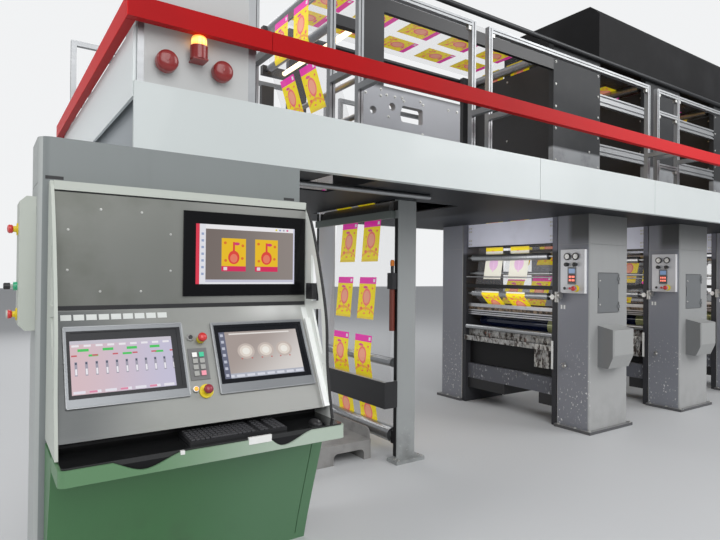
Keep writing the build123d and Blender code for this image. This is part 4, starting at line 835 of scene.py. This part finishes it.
# Painted light: the right side frame is painted paler than the left.
cream_paint.coat(((cream_paint.x > -3.925) * (cream_paint.z < 1.98), (0.86, 0.89, 0.85)))
give(cream_paint, "console_frame", "side_control_box")
trim_rubber = Finish("trim_rubber", (0.52, 0.55, 0.50), 0.65)
trim_rubber.coat((trim_rubber.x > -4.5, (0.022, 0.022, 0.023)))
give(trim_rubber, "frame_edge_trims")
give(black_plastic, "console_body")
panel_steel = Finish("console_stainless", (0.215, 0.222, 0.205), 0.30)
grain = panel_steel.noise(3.0, 4.0, (1.2, 60.0, 110.0))
smear = panel_steel.noise(2.4, 5.0)
right_edge_highlight = panel_steel.x.rise(-3.9105, -3.9100) * panel_steel.z.fall(1.40, 1.41)
slope_zone = panel_steel.z.fall(1.41, 1.425)
sheen = slope_zone * panel_steel.x.rise(-4.40, -3.93) * panel_steel.z.rise(1.30, 1.40)
# Painted light on the stainless: lighter toward the right, the slope's panel lighter with a dark lower
# left, a painted sheen at its top right, and a painted highlight on the narrow strip at the right end. The
# darker smears are smudges.
panel_steel.coat((smear.rise(0.42, 0.72) * 0.6, (0.135, 0.142, 0.120)),
                 (panel_steel.x.rise(-4.75, -4.15) * 0.7, (0.40, 0.40, 0.38)),
                 (slope_zone * 0.3, (0.30, 0.305, 0.30)),
                 (slope_zone * panel_steel.x.fall(-5.15, -4.70), (0.10, 0.105, 0.105)),
                 (sheen * 0.8, (0.85, 0.86, 0.84)), (right_edge_highlight, (0.93, 0.95, 0.93)))
panel_steel.set("Metallic", 0.75 - right_edge_highlight * 0.75)
panel_steel.roughen(grain * 0.16 + smear * 0.10)
panel_steel.bump(grain, 0.0002, 0.25)
give(panel_steel, "console_panels")
green_paint = worn_paint("console_green_paint", (0.062, 0.185, 0.070), 0.0, rough=0.36)
green_paint.coat((green_paint.x.rise(-4.8, -4.1), (0.095, 0.215, 0.110)))
give(green_paint, "console_base")
lip_paint = worn_paint("lip_pale_green_paint", (0.42, 0.50, 0.42), 0.0, rough=0.4, dirt=0.4)
lip_paint.coat((lip_paint.x.fall(-5.0, -4.05), (0.110, 0.24, 0.115)))
give(lip_paint, "console_lip")
shelf_gloss = Finish("shelf_black_gloss", (0.012, 0.0125, 0.013), 0.12, Coat_Weight=0.2)
shelf_gloss.roughen(shelf_gloss.noise(9.0).rise(0.45, 0.8) * 0.16)
give(shelf_gloss, "console_shelf")

# The upper screen, behind dark glass: a window with a red edge, a pale list and menu, and
# the picture of two printed panels. It is drawn in shares of the lit area.
SCREEN_LEFT, SCREEN_WIDTH, SCREEN_LOW, SCREEN_HEIGHT = -4.544, 0.589, 1.543, 0.324
TILE_WIDE, TILE_LOW, TILE_HIGH = 0.240, 0.217, 0.780
screen_glass = {"colour": (0.006, 0.006, 0.007), "rough": 0.12, "Specular_IOR_Level": 0.2}
overview = Finish("overview_screen_picture", **screen_glass)
a = (overview.x - SCREEN_LEFT) / SCREEN_WIDTH
b = (overview.z - SCREEN_LOW) / SCREEN_HEIGHT
icons = ((b * 9.0) % 1.0).within(0.35, 0.70) * a.within(0.052, 0.076) * b.within(0.15, 0.9)
picture = overview.mix(a.rise(0.1, 1.0), (0.20, 0.165, 0.150), (0.30, 0.26, 0.24))
picture = overview.layers(
    picture, (b.within(0.03, 0.075), (0.62, 0.62, 0.74)), (b.within(0.0, 0.03), (0.90, 0.90, 0.94)),
    (b.within(0.925, 1.0), (0.92, 0.90, 0.93)), (a.within(0.035, 0.092), (0.84, 0.84, 0.90)),
    (a.within(0.0, 0.035), (0.78, 0.05, 0.09)), (a.within(0.985, 1.0), (0.70, 0.70, 0.85)))
for left_edge in (0.243, 0.577):
    centre = left_edge + TILE_WIDE / 2
    upright = a.within(left_edge, left_edge + TILE_WIDE)
    stalk = ((a - centre).size() < 0.010) * b.within(0.50, 0.72)
    plate = a.within(left_edge + 0.02, left_edge + 0.055) * b.within(0.235, 0.29)
    picture = overview.layers(
        picture, (upright * b.within(TILE_LOW, TILE_HIGH), (0.90, 0.56, 0.02)),
        (oval(a, b, (centre, 0.455), (0.056, 0.115)).largest(stalk), (0.80, 0.07, 0.05)),
        (oval(a, b, (centre, 0.440), (0.036, 0.075)), (0.88, 0.22, 0.14)),
        (oval(a, b, (centre + 0.030, 0.690), (0.028, 0.026)), (0.70, 0.05, 0.20)))
    for side, rise in ((-0.085, 0.70), (0.088, 0.66), (-0.080, 0.40), (0.084, 0.44)):
        picture = overview.mix(oval(a, b, (centre + side, rise), (0.014, 0.024)), picture,
                               (0.78, 0.20, 0.03))
    picture = overview.layers(picture, (upright * b.within(TILE_LOW, 0.305), (0.72, 0.03, 0.12)),
                              (plate, (0.85, 0.75, 0.78)))
picture = overview.mix(icons, picture, (0.35, 0.42, 0.62))
for spot, tint in ((0.80, (0.80, 0.70, 0.05)), (0.84, (0.30, 0.35, 0.60)), (0.88, (0.45, 0.45, 0.55)),
                   (0.92, (0.75, 0.12, 0.30))):
    picture = overview.mix(oval(a, b, (spot, 0.962), (0.011, 0.017)), picture, tint)
lit = a.within(0.0, 1.0) * b.within(0.0, 1.0)
overview.shine(overview.mix(lit, (0.0, 0.0, 0.0), picture), 0.85)
give(overview, "overview_screen")

# The two touch panels on the slope, under dark glass in silver frames: meters and lamps on
# the left one, three stations on the right one, drawn in shares of the lit area too. The
# slope has its own axes: along X, up the slope, and off its face.
SLOPE_TOP = Vector((0.0, -0.635, 1.424))
SLOPE_RISE, SLOPE_DEPTH, SLOPE_LENGTH = 0.559, 0.284, 0.627
PANEL_SPLIT = -4.55
LEFT_GLASS_X, RIGHT_GLASS_X, HALF_GLASS = -4.903, -4.203, 0.261
LEFT_LIT_X, RIGHT_LIT_X, LIT_DOWN, LIT_WIDTH, LIT_HEIGHT = -4.9205, -4.211, 0.284, 0.460, 0.257
slope_up = Vector((0.0, SLOPE_DEPTH, SLOPE_RISE)).normalized()
slope_out = Vector((0.0, -SLOPE_RISE, SLOPE_DEPTH)).normalized()
slope_turn = Matrix((Vector((1, 0, 0)), slope_up, slope_out)).transposed().to_4x4()
slope_place = Matrix.Translation(SLOPE_TOP) @ slope_turn


def comb(value, count, low, high):
    """1 on one part of each of a number of equal steps."""
    return ((value * count) % 1.0).within(low, high)


touch = Finish("touch_panel_picture", **screen_glass)
down = (SLOPE_TOP.z - touch.z) / SLOPE_RISE * SLOPE_LENGTH
left_panel = 1.0 - (touch.x > PANEL_SPLIT)
right_panel = 1.0 - left_panel
a = (touch.x - RIGHT_LIT_X + left_panel * (RIGHT_LIT_X - LEFT_LIT_X)) / LIT_WIDTH + 0.5
b = 0.5 - (down - LIT_DOWN - left_panel * 0.0055) / LIT_HEIGHT
lit = a.within(0.0, 1.0) * b.within(0.0, 1.0)
from_centre = (touch.x - RIGHT_GLASS_X + left_panel * (RIGHT_GLASS_X - LEFT_GLASS_X)).size()
glass = (from_centre < HALF_GLASS) * down.within(0.112, 0.436)
left_field = touch.mix(a.rise(0.0, 1.0), (0.74, 0.54, 0.58), (0.60, 0.57, 0.74))
glare = (a * 0.7 + (1.0 - b) * 0.5).rise(0.35, 1.1)
right_field = touch.mix(glare, (0.44, 0.37, 0.34), (0.80, 0.76, 0.73))
on_left = ((b.within(0.93, 1.0), (0.62, 0.58, 0.66)),
           (comb(a, 9.0, 0.15, 0.75) * b.within(0.88, 0.92), (0.92, 0.90, 0.94)),
           (comb(a, 4.3, 0.30, 0.74) * b.within(0.79, 0.84), (0.03, 0.60, 0.08)),
           (comb(a, 3.1, 0.52, 0.80) * b.within(0.69, 0.73), (0.03, 0.60, 0.08)),
           (comb(a, 5.2, 0.05, 0.32) * b.within(0.70, 0.73), (0.62, 0.10, 0.12)),
           (comb(a, 10.5, 0.38, 0.64) * b.within(0.34, 0.60), (0.36, 0.34, 0.42)),
           (comb(a, 10.5, 0.42, 0.60) * b.within(0.36, 0.47), (0.95, 0.93, 0.98)),
           (comb(a, 10.5, 0.42, 0.60) * b.within(0.55, 0.59), (0.04, 0.05, 0.10)),
           (comb(a, 7.0, 0.1, 0.85) * b.within(0.015, 0.065), (0.86, 0.84, 0.92)),
           (comb(a, 3.5, 0.55, 0.80) * b.within(0.02, 0.06), (0.80, 0.25, 0.40)))
on_right = [(b.within(0.0, 0.10), (0.50, 0.52, 0.60)),
            (comb(a, 8.0, 0.12, 0.88) * b.within(0.02, 0.07), (0.78, 0.80, 0.88)),
            (a.within(0.12, 0.90) * b.within(0.935, 0.965), (0.92, 0.88, 0.84)),
            (a.within(0.0, 0.07), (0.16, 0.17, 0.24)),
            (comb(b, 7.0, 0.3, 0.7) * a.within(0.015, 0.05), (0.60, 0.62, 0.72))]
for spot in (0.30, 0.55, 0.79):
    on_right += [(oval(a, b, (spot, 0.56), (reach, reach * 1.6)), tint) for reach, tint in (
        (0.105, (0.64, 0.55, 0.50)), (0.078, (0.86, 0.78, 0.70)), (0.046, (1.0, 0.97, 0.90)))]
    on_right += [(oval(a, b, (spot + side, 0.40), (0.010, 0.016)), (0.62, 0.16, 0.14))
                 for side in (-0.062, 0.062)]
field = touch.layers(touch.mix(left_panel, right_field, left_field),
                     *((zone * left_panel, tint) for zone, tint in on_left),
                     *((zone * right_panel, tint) for zone, tint in on_right))
touch.set("Base Color", touch.mix(glass, (0.22, 0.23, 0.24), (0.010, 0.011, 0.014)))
touch.set("Metallic", 0.7 - glass * 0.7)
touch.set("Roughness", 0.35 - glass * 0.23)
touch.shine(touch.mix(lit, (0.0, 0.0, 0.0), field), 0.8)
give(touch, "touch_panels")

RIM_X, RIM_Y, HALF_RIM, RIM_PROUD = 0.272, 0.1925, 0.0035, 0.0115
rims = []
for x, y in ((LEFT_GLASS_X, -0.288), (RIGHT_GLASS_X, -0.297)):
    for side in (-1, 1):
        edge, end = x + side * RIM_X, y + side * RIM_Y
        rims += [((edge - HALF_RIM, y - RIM_Y, 0.0), (edge + HALF_RIM, y + RIM_Y, RIM_PROUD)),
                 ((x - RIM_X, end - HALF_RIM, 0.0), (x + RIM_X, end + HALF_RIM, RIM_PROUD))]
blocks("touch_panel_rims", rims, Finish("silver_rim", (0.30, 0.31, 0.32), 0.38, 0.7), 0.002, slope_place)

# The console's buttons, fitted in its slope: a small keypad with blank tops, a key switch,
# two stop buttons in yellow collars and an orange lamp.
keypad_gray = Finish("keypad_gray", (0.15, 0.15, 0.15), 0.45)
give(keypad_gray, "console_buttons")
KEY_X, KEY_Y, HALF_KEY = -4.566, -0.237, 0.0125
key_colours = {(0, "left"): (0.85, 0.84, 0.82), (0, "right"): (0.04, 0.55, 0.30),
               (3, "right"): (0.85, 0.30, 0.38)}
for row in range(4):
    for side, x in (("left", KEY_X - 0.018), ("right", KEY_X + 0.018)):
        name = f"key_{row}_{side}"
        y = KEY_Y - 0.036 - row * 0.033
        key_top = ((x - HALF_KEY, y - HALF_KEY, 0.0075), (x + HALF_KEY, y + HALF_KEY, 0.0105))
        key_finish = Finish(name, key_colours.get((row, side), (0.36, 0.36, 0.34)), 0.35)
        blocks(name, [key_top], key_finish, 0.0012, slope_place)


def on_slope(x, along):
    """The placement of a turned form on the slope."""
    return slope_place @ Matrix.Translation((x, -along, 0))


def mushroom(foot, radius=0.023):
    """The outline of a mushroom head that starts at a height off the panel."""
    return [(radius * 0.72, foot), (radius * 0.76, foot + 0.006), (radius, foot + 0.010),
            (radius * 1.02, foot + 0.018), (radius * 0.86, foot + 0.026), (radius * 0.4, foot + 0.030),
            (0.0, foot + 0.031)]


upper_stop, lower_stop = on_slope(-4.540, 0.190), on_slope(-4.548, 0.466)
lamp_place, key_place = on_slope(-4.600, 0.452), on_slope(-4.593, 0.178)
stop_dark = Finish("dark_red_head", (0.30, 0.02, 0.04), 0.35, Coat_Weight=0.3)
orange_lamp = Finish("orange_lamp", (0.90, 0.28, 0.02), 0.25)
orange_lamp.shine((1.0, 0.35, 0.04), 0.9)
turned("upper_stop_head", [(mushroom(0.024), upper_stop)], lamp_red, smooth=True)
turned("lower_stop_head", [(mushroom(0.028), lower_stop)], stop_dark, smooth=True)
slim_collar = [(0.021, 0.0), (0.021, 0.022), (0.017, 0.0242), (0.0165, 0.0245)]
wide_collar = [(0.0355, 0.0), (0.0355, 0.0085), (0.033, 0.010), (0.018, 0.0102), (0.018, 0.028),
               (0.0165, 0.0285)]
turned("yellow_collars", [(slim_collar, upper_stop), (wide_collar, lower_stop)], lamp_yellow)
lamp_dome = [(0.0105, 0.013), (0.0105, 0.017), (0.008, 0.020), (0.0, 0.0215)]
lamp_ring = [(0.0145, 0.0), (0.0145, 0.0145), (0.0108, 0.0148)]
key_ring = [(0.0175, 0.0), (0.0175, 0.010), (0.013, 0.0126), (0.0125, 0.0126)]
key_core = [(0.0126, 0.011), (0.0120, 0.0140), (0.0, 0.0142)]
turned("orange_lamp_dome", [(lamp_dome, lamp_place)], orange_lamp, smooth=True)
turned("lamp_and_key_rings", [(lamp_ring, lamp_place), (key_ring, key_place)], zinc)
turned("key_switch_core", [(key_core, key_place)], black_plastic)

# On the console's front: zinc studs round the bare upper panel, a black gasket under it, a
# black latch in the right side frame's window, and a row of small pale tags without
# lettering over the left touch panel.
PANEL_Y = SLOPE_TOP.y
stud_places = [(-5.010, 1.908), (-4.819, 1.906), (-5.152, 1.802), (-4.674, 1.802), (-5.153, 1.610),
               (-4.673, 1.612), (-5.009, 1.508), (-4.819, 1.507)]
bolts("panel_studs", [(x, PANEL_Y, z) for x, z in stud_places], TO_FRONT, 0.004)
blocks("panel_gasket", [((-5.210, PANEL_Y - 0.0035, 1.418), (-3.882, PANEL_Y + 0.001, 1.440))],
       black_plastic, 0.0008)
blocks("window_latch", [((-3.912, -0.783, 1.457), (-3.880, -0.709, 1.550), 0.003),
                        ((-3.916, -0.765, 1.520), (-3.912, -0.745, 1.545), 0.001)], black_plastic)
blocks("blank_tags", [((x, -0.059, 0.0), (x + 0.046, -0.030, 0.0012))
                      for x in (-5.182 + 0.0551 * k for k in range(9))],
       Finish("blank_tag", (0.66, 0.68, 0.66), 0.4), turn=slope_place)

# The keyboard's keys in six rows, moulded black without lettering, with a long bar in the
# nearest row, and the mouse's wheel.
KEYBOARD_X, KEYBOARD_Y, KEYBOARD_Z = -4.685, -1.030, 0.820
KEY_PITCH, KEY_WIDE, KEY_DEEP, KEY_THICK = 0.0230, 0.0195, 0.0235, 0.008
key_black = Finish("keycap_black", (0.055, 0.055, 0.060), 0.34)
key_black.bump(key_black.noise(1500.0), 0.0001, 0.3)
give(black_plastic, "keyboard_and_mouse")
keys = []
for row in range(6):
    y, z = KEYBOARD_Y + 0.009 + row * 0.0290, KEYBOARD_Z + row * 0.0015
    columns = [col for col in range(21) if col not in (14, 17) and (row or not 3 < col < 10)]
    spans = [(KEYBOARD_X + 0.010 + col * KEY_PITCH, KEY_WIDE) for col in columns]
    if row == 0:
        spans.append((KEYBOARD_X + 0.105, 0.132))
    keys += [((x, y, z), (x + wide, y + KEY_DEEP, z + KEY_THICK)) for x, wide in spans]
blocks("keyboard_keys", keys, key_black, 0.0022)
wheel_place = Matrix.Translation((-4.005, -1.033, 0.8205)) @ Matrix.Rotation(math.pi / 2, 4, "Y")
wheel = [(0.006, -0.004), (0.008, -0.003), (0.008, 0.003), (0.006, 0.004)]
turned("mouse_wheel", [(wheel, wheel_place)], keypad_gray, 20)

# The shelf's edge: a wide white plate and a small white clip on the lip, and a black strip
# behind it as painted shade, which shows dark in its hand cuts.
blocks("shelf_clips", [((-4.416, -1.0835, 0.778), (-4.297, -1.066, 0.812)),
                       ((-4.742, -1.0835, 0.786), (-4.722, -1.066, 0.804))], gauge_white, 0.002)
# Painted shade: a black strip behind the lip, so its hand cuts look dark.
blocks("shelf_shade_strip", [((-5.170, -1.0670, 0.725), (-3.920, -1.0610, 0.7845))], hood_dark)

# The side box's two stop buttons in yellow collars and its selector in a green ring, and the
# vent slots of the cabinet behind the console.
SIDE_X, SIDE_Y = -5.343, -0.3975
lamp_green = Finish("green_push_button", (0.02, 0.42, 0.20), 0.3, Coat_Weight=0.5)
stops = [(SIDE_X, SIDE_Y, z) for z in (1.808, 1.393)]
heads = [(x - 0.020, y, z) for x, y, z in stops]
selector = [(SIDE_X, SIDE_Y, 1.530)]
side_head = [(0.012, 0.0), (0.0205, 0.004), (0.0215, 0.018), (0.015, 0.024), (0.0, 0.026)]
side_collar = [(0.030, 0.0), (0.030, 0.006), (0.0155, 0.008), (0.0145, 0.020)]
turned("side_box_stop_heads", placed(side_head, heads, TO_LEFT), lamp_red, smooth=True)
turned("side_box_collars", placed(side_collar, stops, TO_LEFT), lamp_yellow)
turned("side_box_selector", placed([(0.016, 0.030), (0.016, 0.054), (0.012, 0.058), (0.0, 0.058)],
                                   selector, TO_LEFT), black_plastic, 28)
turned("side_box_ring", placed([(0.021, 0.0), (0.021, 0.016), (0.0162, 0.018)], selector, TO_LEFT),
       lamp_green, 28)
blocks("cabinet_vents", [((-5.243, SLOT_NEAR, 2.046), (-5.165, SLOT_FAR, 2.062)),
                         ((-3.985, SLOT_NEAR, 2.046), (-3.915, SLOT_FAR, 2.062))], groove_black)

# The pale floor and the overcast light: a soft sky that is plain behind the part, and large
# square lamps round the hall, with a weak one in each printing bay.
FLOOR_REACH = 60.0
floor_data = bpy.data.meshes.new("studio_floor")
floor_data.from_pydata([(-FLOOR_REACH, -FLOOR_REACH, 0), (FLOOR_REACH, -FLOOR_REACH, 0),
                        (FLOOR_REACH, FLOOR_REACH, 0), (-FLOOR_REACH, FLOOR_REACH, 0)], [],
                       [(0, 1, 2, 3)])
floor_data.materials.append(Finish("studio_floor", (0.62, 0.63, 0.64), 0.55).material)
floor = bpy.data.objects.new("studio_floor", floor_data)
bpy.context.scene.collection.objects.link(floor)

world = bpy.data.worlds.new("overcast")
bpy.context.scene.world = world
world.use_nodes = True
sky = world.node_tree
background = sky.nodes["Background"]
background.inputs["Color"].default_value = (0.95, 0.97, 1.0, 1.0)
background.inputs["Strength"].default_value = 0.36
plain = sky.nodes.new("ShaderNodeBackground")
plain.inputs["Color"].default_value = (0.93, 0.94, 0.95, 1.0)
plain.inputs["Strength"].default_value = 0.95
ray = sky.nodes.new("ShaderNodeLightPath")
chooser = sky.nodes.new("ShaderNodeMixShader")
either = sky.nodes.new("ShaderNodeMath")
either.operation = "MAXIMUM"
for source, target in ((ray.outputs["Is Camera Ray"], either.inputs[0]),
                       (ray.outputs["Is Transmission Ray"], either.inputs[1]),
                       (either.outputs[0], chooser.inputs[0]), (background.outputs[0], chooser.inputs[1]),
                       (plain.outputs[0], chooser.inputs[2]),
                       (chooser.outputs[0], sky.nodes["World Output"].inputs["Surface"])):
    sky.links.new(source, target)


def lamp(name, place, aim, size, power):
    """A soft square lamp that no view sees."""
    data = bpy.data.lights.new(name, "AREA")
    data.size = size
    data.energy = power
    holder = bpy.data.objects.new(name, data)
    bpy.context.scene.collection.objects.link(holder)
    holder.location = place
    way = Vector(aim) - Vector(place)
    holder.rotation_euler = way.to_track_quat("-Z", "Y").to_euler()
    holder.visible_camera = False


lamp("hall_light_front", (-5.0, -9.0, 7.0), (-0.5, 0.5, 1.5), 8.0, 640.0)
lamp("hall_light_left", (-11.0, -0.6, 2.6), (0.0, 0.9, 1.8), 4.0, 60.0)
lamp("hall_light_upper_left", (-12.0, 0.5, 9.0), (-4.8, 0.9, 2.7), 5.0, 300.0)
lamp("hall_light_back", (-2.0, 11.0, 7.0), (-0.5, 1.3, 1.5), 8.0, 420.0)
for k, x in enumerate(UNIT_X):
    lamp(f"bay_light_{k + 1}", (x - 1.15, MIDDLE_Y, 1.70), (x - 0.32, MIDDLE_Y, 2.0), 0.9, 4.0)
lamp("hall_light_right", (7.0, -7.0, 8.0), (1.5, 0.5, 1.5), 7.0, 560.0)
